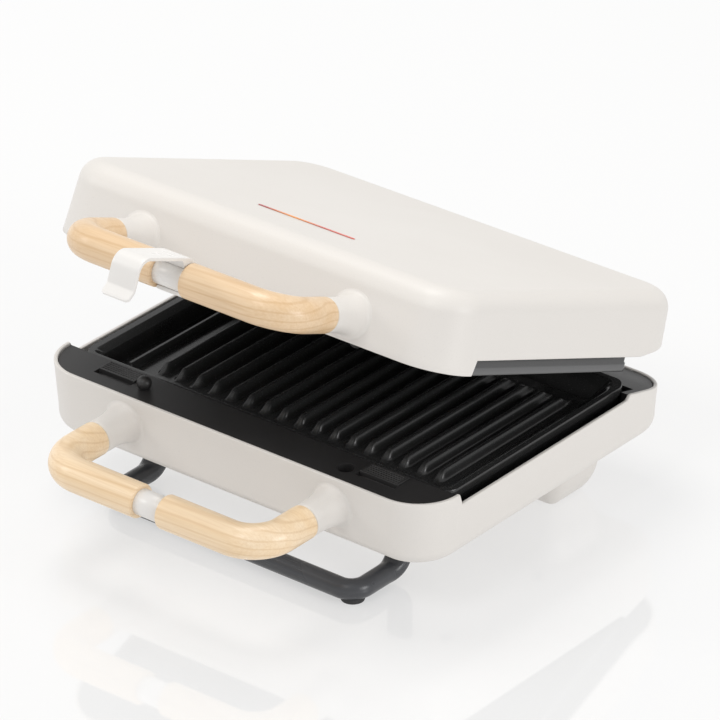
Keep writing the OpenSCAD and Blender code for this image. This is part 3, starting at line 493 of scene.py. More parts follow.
# Dark red at the left end, red at the right and orange a third of the way along, by Object X.
def makeAccent():
    mat, tree, shader, where = newMaterial("accentInk", Roughness=0.3)
    split = addNode(tree, "ShaderNodeSeparateXYZ", {"Vector": where})
    rise = spread(tree, split.outputs["X"], -0.030, -0.011)
    fall = spread(tree, split.outputs["X"], 0.012, -0.008)
    glow = mathNode(tree, "MULTIPLY", rise, fall)
    ends = blendColor(tree, spread(tree, split.outputs["X"], -0.036, 0.036),
                      (0.42, 0.03, 0.04, 1), (0.72, 0.10, 0.06, 1))
    tone = blendColor(tree, glow, ends, (0.90, 0.30, 0.02, 1))
    grain = useGroup(tree, grainGroup, {"Vector": where})
    tone = blendColor(tree, spread(tree, grain.outputs["Grain"], 0.4, 0.8, 0.0, 0.10), tone,
                      (0.9, 0.5, 0.3, 1))
    tree.links.new(tone, shader.inputs["Base Color"])
    return mat


accentInk = makeAccent()
print("finishes are ready")


# Closed loop round a rounded rectangle: points, outward normals, both (n, 2). xs and ys are the
# sample places along the straights, from front and from left; corners are arcs of n steps.
def outlineLoop(halfW, y0, y1, r, xs, ys, n=14):
    pts, nor = [], []

    def straight(start, places, axis, normal):
        for place in places:
            point = np.array(start, float)
            point[axis] = place
            pts.append(point)
            nor.append(normal)

    def corner(cx, cy, start):
        for k in range(n + 1):
            t = math.radians(start + 90 * k / n)
            nor.append((math.cos(t), math.sin(t)))
            pts.append((cx + r * math.cos(t), cy + r * math.sin(t)))

    xs = [x for x in xs if abs(x) < halfW - r - 0.01]
    ys = [y for y in ys if y0 + r + 0.01 < y < y1 - r - 0.01]
    straight((0, y0), xs, 0, (0, -1))
    corner(halfW - r, y0 + r, -90)
    straight((halfW, 0), ys, 1, (1, 0))
    corner(halfW - r, y1 - r, 0)
    straight((0, y1), xs[::-1], 0, (0, 1))
    corner(-halfW + r, y1 - r, 90)
    straight((-halfW, 0), ys[::-1], 1, (-1, 0))
    corner(-halfW + r, y0 + r, 180)
    return np.array(pts, float), np.array(nor, float)


# Ring rows: each row is a loop set in by inset (scalar or per point) at height z.
def loopRow(loop, normals, inset, z):
    flat = loop - normals * np.reshape(inset, (-1, 1))
    return np.column_stack([flat, np.broadcast_to(z, len(loop))])


# A row drawn toward the middle of its own loop, for the flat far side of a shell.
def shrunk(row, k, z=None):
    middle = (row.max(0) + row.min(0)) / 2
    out = middle + (row - middle) * k
    out[:, 2] = row[:, 2] if z is None else z
    return out


# How far the drafted wall stands in from the rim's outline at height z: in a straight line from
# nothing at the rim to the whole draft where the edge begins.
def wallLean(p, z):
    return p["draft"] * np.clip((p["rimLevel"] - z) / (p["rimLevel"] - p["far"] - p["foot"]), 0, 1)


# Housing half as a surface over (way round, way along the section): inner floor, inner wall,
# rounded rim at height rim(y), drafted outer wall, edge arc and slightly crowned far side.
def shellSurface(p):
    xs = np.linspace(-p["halfW"], p["halfW"], 41)
    steps = [y + d for y in p["rimY"][1:-1] for d in (-1.2, -0.5, -0.15, 0.15, 0.5, 1.2)]
    ys = sorted(list(np.linspace(p["y0"], p["y1"], 31)) + steps)
    loop, nor = outlineLoop(p["halfW"], p["y0"], p["y1"], p["cornerR"], xs, ys)
    rim = np.interp(loop[:, 1], p["rimY"], p["rimZ"])
    facing = np.clip(-nor[:, 1], 0, 1) ** 2
    edge = p["edgeSide"] + (p["edgeFront"] - p["edgeSide"]) * facing
    far, wall, soft = p["far"], p["wall"], p["rimRound"]

    def lean(z):
        return wallLean(p, z)

    rows = []
    low = far + edge
    inner = loopRow(loop, nor, lean(low) + edge, far + wall)
    rows += [shrunk(inner, 0.02), shrunk(inner, 0.6), inner]
    for a in (72, 54, 36, 18, 0):
        t = math.radians(a)
        rows.append(loopRow(loop, nor, lean(low) + wall + (edge - wall) * (1 - math.cos(t)),
                            low - (edge - wall) * math.sin(t)))
    for a in (0, 30, 60, 90):
        t = math.radians(a)
        z = rim - soft + soft * math.sin(t)
        rows.append(loopRow(loop, nor, lean(rim) + wall - soft * (1 - math.cos(t)), z))
    for a in (90, 60, 30, 0):
        t = math.radians(a)
        z = rim - soft + soft * math.sin(t)
        rows.append(loopRow(loop, nor, lean(rim) + soft * (1 - math.cos(t)), z))
    for t in np.linspace(0, 1, 9)[1:]:
        z = (rim - soft) + (low - rim + soft) * t
        rows.append(loopRow(loop, nor, lean(z), z))
    for a in np.linspace(0, 90, 19)[1:]:
        t = math.radians(a)
        rows.append(loopRow(loop, nor, lean(low) + edge * (1 - math.cos(t)),
                            low - edge * math.sin(t)))
    last = rows[-1]
    for k in (0.999, 0.997, 0.985, 0.95, 0.88, 0.75, 0.55, 0.3, 0.02):
        rows.append(shrunk(last, k, far - p["crown"] * (1 - k * k)))
    return np.array(rows)


baseShape = {
    "halfW": 150.0, "y0": 0.0, "y1": 244.8, "cornerR": 30.0,
    "far": 38.9, "foot": 11.0, "rimLevel": 81.6, "wall": 2.5, "draft": 2.4,
    "edgeFront": 8.0, "edgeSide": 9.0, "crown": 0.0, "rimRound": 0.8,
    "rimY": [-5.0, 31.3, 34.3, 193.5, 196.5, 246.0],
    "rimZ": [81.6, 81.6, 74.0, 74.0, 77.0, 64.1],
}
lidShape = {
    "halfW": 150.0, "y0": 0.0, "y1": 247.4, "cornerR": 30.0,
    "far": 27.5, "foot": 11.0, "rimLevel": 75.0, "wall": 2.5, "draft": 2.4,
    "edgeFront": 15.0, "edgeSide": 12.5, "crown": 0.5, "rimRound": 0.8,
    "rimY": [-5.0, 31.3, 34.3, 205.5, 248.6],
    "rimZ": [75.0, 75.0, 66.0, 66.0, 57.8],
}
midZ = 78.7          # height of the plane between the two plates when the lid is shut


# Heights turned over about the plane between the plates, then opened with the lid.
def atTurnedLid(points):
    points = np.array(points, float)
    points[..., 2] = 2 * midZ - points[..., 2]
    return atLid(points)


dressed(loft("baseShell", atBase(shellSurface(baseShape)), sharp=40), "base", "shell",
        creamPaint, "base_shell")
dressed(loft("lidShell", atTurnedLid(shellSurface(lidShape)), sharp=40), "lid", "shell",
        creamPaint, "lid_shell")
print("shells are built")


plateShape = {
    "halfW": 140.1, "y0": 32.7, "y1": 207.1, "cornerR": 10.0, "rim": 77.8, "bottom": 61.0,
    "lip": 3.6, "basin": 7.8, "runLeft": 4.0, "runRight": 11.0, "runFront": 5.0, "runBack": 18.4,
    "ridges": 17, "firstRidge": -92.8, "pitch": 13.1, "ridgeH": 5.6, "footHalf": 4.0,
    "topHalf": 1.0, "ridgeY": (49.7, 57.5, 168.0, 178.0),
    "cornerBlend": 2.4,      # power that rounds the basin where two sides meet
    "channelX": (-129.5, -113.0), "channelY": (45.3, 191.1), "channelFloor": 5.8,
    "channelOut": 0.3, "channelSlope": (1.1, 1.1, 1.4, 1.6),
    # Section of the lip beside the channel, and of the divider on its other side.
    "ledgeX": (-135.5, -134.8, -129.9, -129.3), "ledgeDrop": (0.0, 0.25, 2.5, 7.8),
    "dividerX": (-113.0, -112.0, -110.0, -108.8), "dividerH": 5.0,
    "hollow": (-110.0, 136.1, 36.7, 203.1), "underside": 67.0,
    # Inset and height of each ring down the skirt, and how far the lip's edge is set in.
    "skirt": ((0.0, 77.45), (0.0, 72.8), (0.8, 71.8), (0.8, 61.6), (1.3, 61.0)), "lipEase": 0.25,
}


# Middles of the ridges: equal steps from the first.
def ridgePlaces(p):
    return p["firstRidge"] + p["pitch"] * np.arange(p["ridges"])


# Sample places over the plate, close together where its height changes.
def plateGrid(p, channel):
    half, y0, y1 = p["halfW"], p["y0"], p["y1"]
    near = np.array([0.4, 0.8, 1.1, 1.6, 2.1, 2.6, 3.3, 3.9, 4.4, 4.8])
    around = np.concatenate([-near, near, [5.7, 6.6]])
    xs = [(ridgePlaces(p)[:, None] + around).ravel(), half - np.linspace(0, 15.5, 20),
          -half + np.array([0, 0.8, 2, 2.9, 3.3, 3.6, 4, 4.6, 5.6, 6.6, 7.2, 7.6, 8.2, 9, 11]),
          half - np.array([3.3, 3.6, 4, 14.2, 14.6, 15])]
    if channel:
        a, b = p["channelX"]
        xs.append(np.concatenate([a + np.linspace(-6.4, 2.5, 22), b + np.linspace(-2.5, 5.1, 20),
                                  np.linspace(a + 3, b - 3, 8), [b + 6.5, b + 8.5, b + 10.5]]))
    else:
        xs.append(np.linspace(-128, -100, 12))
    e0, e1, e2, e3 = p["ridgeY"]
    ys = [y0 + np.array([0, 0.8, 2, 2.9, 3.3, 3.6, 4, 4.8, 5.8, 6.9, 7.8, 8.3, 8.6, 9.2, 10.5, 12]),
          np.linspace(e0 - 0.5, e1 + 0.5, 12), np.linspace(e1 + 4, e2 - 4, 12),
          np.linspace(e2 - 0.5, e3 + 0.6, 10), y1 - np.linspace(0, 23, 26),
          p["channelY"][0] + np.linspace(-4.5, 2.5, 8), p["channelY"][1] + np.linspace(-2.5, 1.2, 7)]
    return np.meshgrid(*(np.unique(np.round(np.concatenate(places), 2)) for places in (xs, ys)))


# Height is the rim less a basin with sloped sides, raised by ridges of rounded trapezoid profile
# along the depth. Where there is a drip channel, a ledge and a divider stand beside it, and its
# floor is cut below the basin's.
def plateHeight(p, x, y, channel):
    half, lip, floor = p["halfW"], p["lip"], p["rim"] - p["basin"]
    # How far outside the flat floor, 0 on it and 1 at the lip, rounded where two sides meet.
    sides = [] if channel else [((-half + lip + p["runLeft"]) - x) / p["runLeft"]]
    sides += [(x - (half - lip - p["runRight"])) / p["runRight"],
              ((p["y0"] + lip + p["runFront"]) - y) / p["runFront"],
              (y - (p["y1"] - lip - p["runBack"])) / p["runBack"]]
    n = p["cornerBlend"]
    out = np.clip(sum(np.clip(side, 0, None) ** n for side in sides) ** (1 / n), 0, 1)
    z = p["rim"] - p["basin"] * (0.55 * (1 - out) + 0.45 * smooth(1 - out))
    across = np.min(np.abs(x[..., None] - ridgePlaces(p)), -1)
    slope = np.clip((p["footHalf"] - across) / (p["footHalf"] - p["topHalf"]), 0, 1)
    e0, e1, e2, e3 = p["ridgeY"]
    ends = np.clip(np.minimum((y - e0) / (e1 - e0), (e3 - y) / (e3 - e2)), 0, 1)
    hump = np.clip(1 - np.hypot(1 - slope, 1 - ends), 0, 1)
    z = np.maximum(z, floor + p["ridgeH"] * (0.6 * hump + 0.4 * smooth(hump)))
    if not channel:
        return z
    (a, b), (c, d) = p["channelX"], p["channelY"]
    z = np.maximum(z, p["rim"] - np.interp(x, p["ledgeX"], p["ledgeDrop"]))
    w0, w1, w2, w3 = p["dividerX"]
    wall = smooth((x - w0) / (w1 - w0)) * smooth((w3 - x) / (w3 - w2)) * smooth((y - c + 3.4) / 2)
    z = np.where(y < d, np.maximum(z, floor + p["dividerH"] * wall), z)
    depths = np.stack([x - a, b - x, y - c, d - y], -1) + p["channelOut"]
    inside = np.min(depths / p["channelSlope"], -1)
    return z + (np.minimum(z, floor - p["channelFloor"]) - z) * smooth(inside)


# The four corners rounded: the squares at the corners are drawn onto quarter discs.
def roundedCorners(p, x, y):
    half, r = p["halfW"], p["cornerR"]
    for sx in (-1, 1):
        for cy, sy in ((p["y0"] + r, -1), (p["y1"] - r, 1)):
            u = np.clip((sx * x - (half - r)) / r, 0, None)
            v = np.clip(sy * (y - cy) / r, 0, None)
            square = (u > 0) & (v > 0)
            k = np.where(square, np.maximum(u, v) / np.maximum(np.hypot(u, v), 1e-9), 1)
            x = np.where(square, sx * (half - r + r * u * k), x)
            y = np.where(square, cy + sy * r * v * k, y)
    return x, y


# Grooved plate: heights over a grid, then rings that follow the grid's border down the skirt and
# round under the rim into the hollow underside.
def plateSurface(p, channel):
    half, y0, y1, r = p["halfW"], p["y0"], p["y1"], p["cornerR"]
    x, y = plateGrid(p, channel)
    z = plateHeight(p, x, y, channel)
    x, y = roundedCorners(p, x, y)
    rows, cols = x.shape
    grid = np.stack([x, y, z], -1).reshape(-1, 3)
    index = np.arange(rows * cols).reshape(rows, cols)
    border = np.concatenate([index[0, :-1], index[:-1, -1], index[-1, :0:-1], index[:0:-1, 0]])
    edge = grid[border]
    # Outward normals along the border, from each corner's centre or straight out.
    normal = edge[:, :2] - np.column_stack([np.clip(edge[:, 0], -half + r, half - r),
                                            np.clip(edge[:, 1], y0 + r, y1 - r)])
    normal /= np.maximum(np.linalg.norm(normal, axis=1, keepdims=True), 1e-9)
    rings = []
    for inset, level in p["skirt"]:
        rings.append(np.column_stack([edge[:, :2] - normal * inset, np.full(len(edge), level)]))
    hx0, hx1, hy0, hy1 = p["hollow"]
    hollow = np.column_stack([hx0 + (hx1 - hx0) * (edge[:, 0] + half) / (2 * half),
                              hy0 + (hy1 - hy0) * (edge[:, 1] - y0) / (y1 - y0),
                              np.full(len(edge), p["bottom"])])
    deep = hollow.copy()
    deep[:, 2] = p["underside"]
    rings += [hollow, deep, shrunk(deep, 0.5), shrunk(deep, 0.02)]
    grid[border, :2] -= normal * p["lipEase"]
    n = len(border)
    ringIds = [border] + [rows * cols + k * n + np.arange(n) for k in range(len(rings))]
    quads = [gridQuads(rows, cols, False)]
    for a, b in zip(ringIds[:-1], ringIds[1:]):
        quads.append(np.stack([a, b, np.roll(b, -1), np.roll(a, -1)], -1))
    return np.vstack([grid] + rings), np.vstack(quads), [ringIds[-1]]


points, quads, fans = plateSurface(plateShape, True)
dressed(addMesh("lowerPlate", atBase(points), quads, fans, 50), "lower_plate", "plate_coating",
        plateCoating, "lower_plate")
# The lid's plate has no drip channel and squarer corners.
points, quads, fans = plateSurface({**plateShape, "cornerR": 3.0}, False)
# Its walls are paler by painted reflection.
dressed(addMesh("upperPlate", atTurnedLid(points), quads, fans, 50), "upper_plate",
        "plate_coating", wallSheenCoating, "upper_plate")
print("plates are built")


# Rings of a section carried along a path. Each ring has its own two half widths and a squareness
# exponent: |a/w|^n + |b/h|^n = 1, so n = 2 is an ellipse and larger n a rounded box.
def sweepRings(path, sideways, half, power=2.0, cols=40):
    path = np.array(path, float)
    tangent = np.gradient(path, axis=0)
    tangent /= np.linalg.norm(tangent, axis=1, keepdims=True)
    side = np.broadcast_to(np.array(sideways, float), path.shape)
    up = np.cross(side, tangent)
    up /= np.linalg.norm(up, axis=1, keepdims=True)
    side = np.cross(tangent, up)
    t = np.linspace(0, 2 * np.pi, cols, endpoint=False)
    power = np.broadcast_to(power, len(path))[:, None]
    a = np.sign(np.cos(t)) * np.abs(np.cos(t)) ** (2 / power)
    b = np.sign(np.sin(t)) * np.abs(np.sin(t)) ** (2 / power)
    half = np.broadcast_to(half, (len(path), 2))
    return (path[:, None] + side[:, None] * (a * half[:, :1])[..., None]
            + up[:, None] * (b * half[:, 1:])[..., None])


# Distance along a path from each of its points to the nearer end.
def fromEnds(path):
    along = np.concatenate([[0], np.cumsum(np.linalg.norm(np.diff(path, axis=0), axis=1))])
    return np.minimum(along, along[-1] - along)


# Round body turned about a unit axis through the place at: profile is [radius, along].
def turnedRings(profile, at, axis, cols=64):
    axis = np.array(axis, float)
    helper = np.array([1.0, 0, 0]) if abs(axis[0]) < 0.5 else np.array([0, 1.0, 0])
    a = np.cross(axis, helper)
    a /= np.linalg.norm(a)
    b = np.cross(axis, a)
    t = np.linspace(0, 2 * np.pi, cols, endpoint=False)
    ring = np.cos(t)[:, None] * a + np.sin(t)[:, None] * b
    profile = np.array(profile, float)
    return np.array(at, float) + profile[:, :1, None] * ring + profile[:, 1:, None] * axis


handle = {
    "bossX": 79.3, "reach": 65.1, "gripR": 10.6, "bendR": 22.0, "bossLen": 24.0,
    "lowerZ": 63.3, "upperZ": 98.1, "endRound": 1.2,
    "lowerHalf": 9.2, "upperHalf": 10.6, "sleeveR": 8.1, "spigotR": 5.0, "spigotLen": 10.0,
    "bossTip": 10.3, "bossFoot": 12.9, "taper": 15.0, "fillet": 2.2,
}


# Round grip: centreline forward from the boss, a quarter bend inward, then straight to the
# sleeve. The radius eases in at both ends by a quarter circle.
def gripRings(h, side, z, inner):
    straightX = h["bossX"] - h["bendR"]
    y0, y1 = -h["bossLen"], -h["reach"] + h["bendR"]
    lead = np.array([0, 0.15, 0.5, 1.0, h["endRound"]])
    runY = np.concatenate([y0 - lead, np.linspace(y0 - 3.5, y1 + 0.5, 10)])
    first = np.column_stack([np.full(len(runY), h["bossX"]), runY])
    a = np.radians(np.linspace(0, 90, 26))
    turn = np.column_stack([straightX + h["bendR"] * np.cos(a), y1 - h["bendR"] * np.sin(a)])
    runX = np.concatenate([np.linspace(straightX - 0.8, inner + 3.5, 12), inner + lead[::-1]])
    last = np.column_stack([runX, np.full(len(runX), -h["reach"])])
    flat = np.vstack([first, turn, last])
    path = np.column_stack([side * flat[:, 0], flat[:, 1], np.full(len(flat), z)])
    k = np.clip(1 - fromEnds(path) / h["endRound"], 0, 1)
    radius = h["gripR"] - h["endRound"] * (1 - np.sqrt(1 - k * k))
    return sweepRings(path, (0, 0, 1), radius[:, None] * [1, 1], cols=56)


# Boss that leaves the wall in a fillet and narrows to the wood: radius is the tip plus a power of
# what is left of the length, plus a quarter circle over the last bit before the drafted wall.
def bossRings(h, side, z, wallAt):
    end, tip, spigot = h["bossLen"], h["bossTip"], h["spigotR"]
    far = end + h["spigotLen"]
    t = np.concatenate([[-3.6, -3.2], np.linspace(-2.8, 1.6, 26), np.linspace(2.4, end - 0.9, 22)])
    left = np.clip(1 - t / h["taper"], 0, 1)
    radius = tip + (h["bossFoot"] - tip) * left ** 2.0
    rows = [[0.3, t[0]]] + [[r, s] for r, s in zip(radius, t)]
    rows += [[tip - 0.12, end - 0.45], [tip - 0.5, end - 0.1], [tip - 1.0, end], [spigot, end],
             [spigot, far - 0.7], [spigot - 0.7, far], [0.3, far]]
    rings = turnedRings(rows, (side * h["bossX"], 0, z), (0, -1, 0))
    f = h["fillet"]
    near = np.clip(f - (wallAt(rings[..., 2]) - rings[..., 1]), 0, f)
    out = rings - [side * h["bossX"], 0, z]
    out[..., 1] = 0
    out /= np.linalg.norm(out, axis=-1, keepdims=True)
    return rings + out * (f - np.sqrt(f * f - near * near))[..., None]


# White middle of the handle: a cylinder with a thinner spigot into each grip.
def sleeveRings(h, z, half):
    s, r, q = h["spigotLen"], h["sleeveR"], h["spigotR"]
    rows = [[0.3, -half - s], [q - 0.6, -half - s], [q, -half - s + 0.6], [q, -half - 0.01],
            [r - 0.1, -half], [r, -half + 0.1]]
    rows += [[a, -b] for a, b in rows[::-1]]
    return turnedRings(rows, (0, -h["reach"], z), (1, 0, 0))


# How far back the front wall of each half is at height z with the lid shut.
def baseWall(z):
    return wallLean(baseShape, z)


def lidWall(z):
    return wallLean(lidShape, 2 * midZ - z)


for level, body, place, wallAt in (("lower", "base", atBase, baseWall),
                                   ("upper", "lid", atLid, lidWall)):
    z, inner = handle[level + "Z"], handle[level + "Half"]
    bosses = []
    for side, word in ((-1, "Left"), (1, "Right")):
        grip = loft(level + "Grip" + word, place(gripRings(handle, side, z, inner)))
        dressed(grip, body, "maple", mapleWood[level], level + "_grip_" + word.lower())
        bosses.append(loft("part", place(bossRings(handle, side, z, wallAt))))
    dressed(joined(level + "Bosses", bosses), body, "shell", creamPaint, level + "_bosses")
    dressed(loft(level + "Sleeve", place(sleeveRings(handle, z, inner))), body, "white_gloss",
            whiteGloss, level + "_sleeve")
print("handles are built")


# Places are (y, z) from the middle of the sleeve, and angles are degrees up from the back.
clip = {
    "halfW": 10.0, "halfT": 1.25, "top": 12.2, "outerY": -47.05, "bend": 8.25, "turn": -7.5,
    "tip": (-51.2, -13.1), "root": 38.0, "riseTo": -5.0, "pull": 13.0, "runFrom": -7.5,
    "collarR": 9.45, "collarHalfT": 1.3, "mouth": (-98.0, 128.0), "webHalf": 9.9, "webFrom": 50.0,
    # How much the half width and the half thickness lose at the ends, and over what length.
    "stripEase": ((1.6, 1.8), (0.5, 0.9)), "collarEase": ((0.4, 1.0), (0.5, 1.0)),
}


# Rounded box section carried along a path, with its half sizes less a squared loss near the ends.
def stripRings(path, halves, ease):
    left = fromEnds(path)
    half = np.column_stack([size - loss * np.clip(1 - left / span, 0, 1) ** 2
                            for size, (loss, span) in zip(halves, ease)])
    return sweepRings(path, (1, 0, 0), half, power=9.0, cols=72)


# Latch strip: it leaves the collar's back in a cubic curve with set tangents, runs forward, bends
# down a quarter turn and ends in a lip that leans outward. The collar is an open ring, and the web
# between the two is the flat shape under the strip carried across the width.
def clipRings(c):
    t = np.linspace(0, 1, 14)[:, None]
    a = math.radians(c["root"])
    start = c["collarR"] * np.array([math.cos(a), math.sin(a)])
    lean = np.array([-math.sin(a), math.cos(a)])
    end, flat = np.array([c["riseTo"], c["top"]]), np.array([-1.0, 0.0])
    h = [2 * t**3 - 3 * t**2 + 1, t**3 - 2 * t**2 + t, -2 * t**3 + 3 * t**2, t**3 - t**2]
    rise = h[0] * start + h[1] * lean * c["pull"] + h[2] * end + h[3] * flat * c["pull"]
    corner = c["outerY"] + c["bend"]
    run = np.column_stack([np.linspace(c["runFrom"], corner + 1.5, 10), np.full(10, c["top"])])
    bend = arcPoints(corner, c["top"] - c["bend"], c["bend"], 90, 180, 16)
    drop = np.column_stack([np.full(5, c["outerY"]),
                            np.linspace(c["top"] - c["bend"] - 1.4, c["turn"] + 1.3, 5)])
    s = np.linspace(0, 1, 8)[:, None]
    knee = np.array([c["outerY"] - 0.1, c["turn"] + 0.4])
    turn = knee + (np.array(c["tip"]) - knee) * s + np.array([0.5, -0.3]) * (s * (1 - s))
    flatPath = np.vstack([rise, run, bend, drop, turn])
    strip = stripRings(np.column_stack([np.zeros(len(flatPath)), flatPath]),
                       (c["halfW"], c["halfT"]), c["stripEase"])
    hoop = np.column_stack([np.zeros(56), arcPoints(0, 0, c["collarR"], *c["mouth"], 56)])
    collar = stripRings(hoop, (c["halfW"], c["collarHalfT"]), c["collarEase"])
    top, mouth = c["top"], math.radians(c["mouth"][1])
    web = np.vstack([arcPoints(0, 0, c["collarR"], c["mouth"][1], c["webFrom"], 24),
                     [[4.4, top - 2.0], [1.5, top - 0.6], [-2.0, top],
                      [top / math.tan(mouth), top]]])
    web = np.stack([np.column_stack([np.full(len(web), x), web])
                    for x in (-c["webHalf"], c["webHalf"])])
    return strip, collar, web


axisPlace = np.array([0, -handle["reach"], handle["upperZ"]])
clipParts = [loft("part", atLid(rings + axisPlace)) for rings in clipRings(clip)]
dressed(joined("latchClip", clipParts), "latch", "white_gloss", whiteGloss, "latch_clip")
print("latch is built")


stand = {
    "r": 6.4, "x": 93.5, "frontY": 4.0, "z": 8.1, "bendR": 10.5, "run": 35.0, "riseR": 12.0,
    "top": 38.9, "armHalf": 8.0, "armThin": 5.0, "widenFrom": 30.0, "widenOver": 16.0, "cols": 44,
}


# Looped stand: front run, two corners, level arms, and a quarter rise to the base. The section is
# round at the front and widens into a flattened oval up the arms.
def standRings(s):
    x0 = s["x"] - s["bendR"]
    pts = [(x, s["frontY"], s["z"]) for x in np.linspace(0, x0 - 1, 14)]
    for x, y in arcPoints(x0, s["frontY"] + s["bendR"], s["bendR"], -90, 0, 14):
        pts.append((x, y, s["z"]))
    for y in np.linspace(s["frontY"] + s["bendR"] + 2, s["run"] - 1, 9):
        pts.append((s["x"], y, s["z"]))
    for y, z in arcPoints(s["run"], s["z"] + s["riseR"], s["riseR"], -90, 0, 16):
        pts.append((s["x"], y, z))
    for z in np.linspace(s["z"] + s["riseR"] + 1.5, s["top"], 5):
        pts.append((s["x"], s["run"] + s["riseR"], z))
    right = np.array(pts)
    path = np.vstack([right[:0:-1] * [-1, 1, 1], right])
    widen = smooth((path[:, 1] - s["widenFrom"]) / s["widenOver"])
    half = np.column_stack([s["r"] + (s["armHalf"] - s["r"]) * widen,
                            s["r"] + (s["armThin"] - s["r"]) * widen])
    # Sideways is square to the path in the level plane, and on the arms straight out or in.
    tangent = np.gradient(path, axis=0)
    flat = np.column_stack([-tangent[:, 1], tangent[:, 0], np.zeros(len(path))])
    onArm = np.abs(path[:, 0]) > s["x"] - 0.01
    flat[onArm] = np.sign(path[onArm, :1]) * [-1, 0, 0]
    flat /= np.linalg.norm(flat, axis=1, keepdims=True)
    return sweepRings(path, flat, half, 2 + 0.8 * widen, s["cols"])


dressed(loft("standBar", atBase(standRings(stand))), "base", "stand_graphite", graphiteBar,
        "front_stand")

# Places of the pads on the right; there is one on each side.
pads = {
    "stand": {"x": 88.5, "y": 9.0, "r": 7.2, "height": 3.4},
    "plinth": {"x": 102.0, "y": 184.0, "r": 8.0, "height": 1.6},
}


# Flat disc with both rims rounded.
def padRings(p, side):
    r, h = p["r"], p["height"]
    rows = [[0.3, 0], [r - 0.5, 0], [r - 0.15, 0.15], [r, 0.5], [r, h - 0.5],
            [r - 0.15, h - 0.15], [r - 0.5, h], [0.3, h]]
    return turnedRings(rows, (side * p["x"], p["y"], 0), (0, 0, 1))


for owner, pad in pads.items():
    discs = [loft("part", atBase(padRings(pad, side))) for side in (-1, 1)]
    dressed(joined(owner + "Pads", discs), "base", "rubber_pad", rubberPad, owner + "_pads")

plinth = {
    "halfW": 124.0, "y0": 158.0, "y1": 210.0, "cornerR": 14.0, "wall": 2.5, "footRound": 1.2,
    "floorInset": 13.2,
    # The wall's inset from the top outline at each level.
    "insets": [10.0, 9.2, 8.0, 6.2, 4.4, 2.9, 1.8, 1.0, 0.5, 0.2, 0.0, 0.0],
    "levels": [1.6, 2.3, 3.8, 6.0, 9.0, 12.0, 15.0, 18.0, 21.0, 24.0, 28.0, 38.9],
}


# Tapering plinth: a wall swept round a rounded rectangle, its inset falling to zero with height.
def plinthRings(p):
    loop, nor = outlineLoop(p["halfW"], p["y0"], p["y1"], p["cornerR"],
                            list(np.linspace(-108, 108, 30)), list(np.linspace(173, 195, 5)))
    outer = [loopRow(loop, nor, i, z) for i, z in zip(p["insets"], p["levels"])]
    first = loopRow(loop, nor, p["insets"][0] + p["footRound"], p["levels"][0])
    inner = [loopRow(loop, nor, i + p["wall"], z + p["wall"] * (k == 0))
             for k, (i, z) in enumerate(zip(p["insets"], p["levels"]))][::-1]
    floor = loopRow(loop, nor, p["floorInset"], p["levels"][0] + p["wall"])
    return np.array([shrunk(first, 0.02), first] + outer + inner[:-1]
                    + [floor, shrunk(floor, 0.02)])


dressed(loft("rearPlinth", atBase(plinthRings(plinth))), "base", "shell", creamPaint,
        "rear_plinth")
print("feet are built")


# The CAD node's own solid with its edges eased: merged, its flat triangles joined, then bevelled.
def eased(name, node, body, slot, material, width):
    build = bmesh.new()
    build.from_mesh(frame["nodes"][node].data)
    bmesh.ops.remove_doubles(build, verts=build.verts, dist=2e-6)
    bmesh.ops.dissolve_limit(build, angle_limit=math.radians(0.6), verts=build.verts,
                             edges=build.edges, use_dissolve_boundaries=False)
    mesh = bpy.data.meshes.new(name)
    build.to_mesh(mesh)
    build.free()
    for polygon in mesh.polygons:
        polygon.use_smooth = True
    mesh.set_sharp_from_angle(angle=math.radians(40))
    obj = linked(name, mesh)
    bevel = obj.modifiers.new("easedEdges", "BEVEL")
    bevel.width = width * mm
    bevel.segments = 2
    bevel.limit_method = "ANGLE"
    bevel.angle_limit = math.radians(35)
    dressed(obj, body, slot, material, node)


easedNodes = [
    # name, node, body, slot, material, width of the bevel
    ("baseFrame", "base_frame", "base", "frame_black", blackFrame, 0.5),
    ("lidFrame", "lid_frame", "lid", "frame_black", blackFrame, 0.5),
    ("baseButtonLeft", "base_release_left", "base_button_left", "frame_black", blackFrame, 0.28),
    ("baseButtonRight", "base_release_right", "base_button_right", "frame_black", blackFrame, 0.28),
    ("lidButtonLeft", "lid_release_left", "lid_button_left", "frame_black", blackFrame, 0.28),
    ("lidButtonRight", "lid_release_right", "lid_button_right", "frame_black", blackFrame, 0.28),
    ("hingeBrackets", "hinge_brackets", "base", "frame_black", blackFrame, 0.5),
    ("lidHingeArms", "lid_hinge_arms", "lid", "hinge_steel", brushedSteel, 0.4),
]
for entry in easedNodes:
    eased(*entry)

post = {
    "stemR": 3.0, "stemDepth": 8.5, "ballR": 4.6, "sunk": 0.9, "ballArc": (-58, 74),
    "x": 77.0, "y": 17.0, "baseTop": 80.1, "lidTop": 71.8, "cols": 40,
}


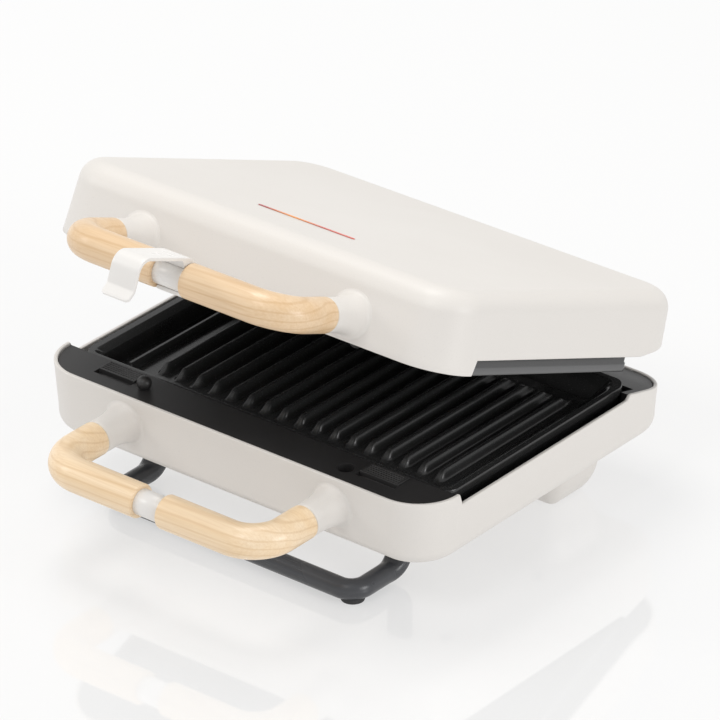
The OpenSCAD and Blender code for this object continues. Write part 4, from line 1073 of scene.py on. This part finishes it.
# Locating post on a bar whose top is at height top: a stem, and a ball sunk a little into the bar
# and cut flat above.
def postRings(p, side, top):
    r, centre = p["ballR"], top + p["ballR"] - p["sunk"]
    ball = arcPoints(0, centre, r, *p["ballArc"], 16)
    rows = [[0.2, top - p["stemDepth"]], [p["stemR"], top - p["stemDepth"]],
            [p["stemR"], top + 0.2], *ball, [0.2, ball[-1, 1]]]
    return turnedRings(rows, (side * p["x"], p["y"], 0), (0, 0, 1), p["cols"])


for half, side, place in (("base", -1, atBase), ("lid", 1, atTurnedLid)):
    dressed(loft(half + "Post", place(postRings(post, side, post[half + "Top"])), sharp=60), half,
            "frame_black", blackFrame, half + "_post")


line = {"x": (-36.5, 36.0), "y": (48.9, 51.6), "z": (130.33, 130.58), "endRound": 1.5,
        "samples": 60}


# Printed line on the lid: a thin slab whose ends are half ellipses.
def lineRings(s):
    xs = np.linspace(*s["x"], s["samples"])
    left = np.minimum(xs - xs[0], xs[-1] - xs)
    near, far = s["y"]
    taper = np.sqrt(1 - np.clip(1 - left / s["endRound"], 0, 0.96) ** 2)
    half, middle = (far - near) / 2 * taper, (near + far) / 2
    low, high = s["z"]
    corners = ((-1, low), (-1, high), (1, high), (1, low))
    return np.stack([np.column_stack([xs, middle + side * half, np.full(len(xs), z)])
                     for side, z in corners], 1)


dressed(loft("accentLine", atLid(lineRings(line)), sharp=30), "lid", "accent", accentInk,
        "accent_stripe")

# CAD nodes shown as they are.
kept = {
    "base_reflector": brushedSteel, "lid_reflector": brushedSteel, "base_heater": sheathSteel,
    "lid_heater": sheathSteel, "base_cradles": paleCeramic, "lid_cradles": paleCeramic,
    "hinge_pins": brushedSteel, "thermostat": brushedSteel, "terminal_block": paleCeramic,
    "thermal_fuse": paleCeramic, "cord_gland": rubberPad, "base_screws": brushedSteel,
    "lid_screws": brushedSteel, "lower_handle_screws": brushedSteel,
    "upper_handle_screws": brushedSteel,
}
for node, material in kept.items():
    data = frame["nodes"][node].data
    data.materials.clear()
    data.materials.append(material)
print("small parts are dressed")
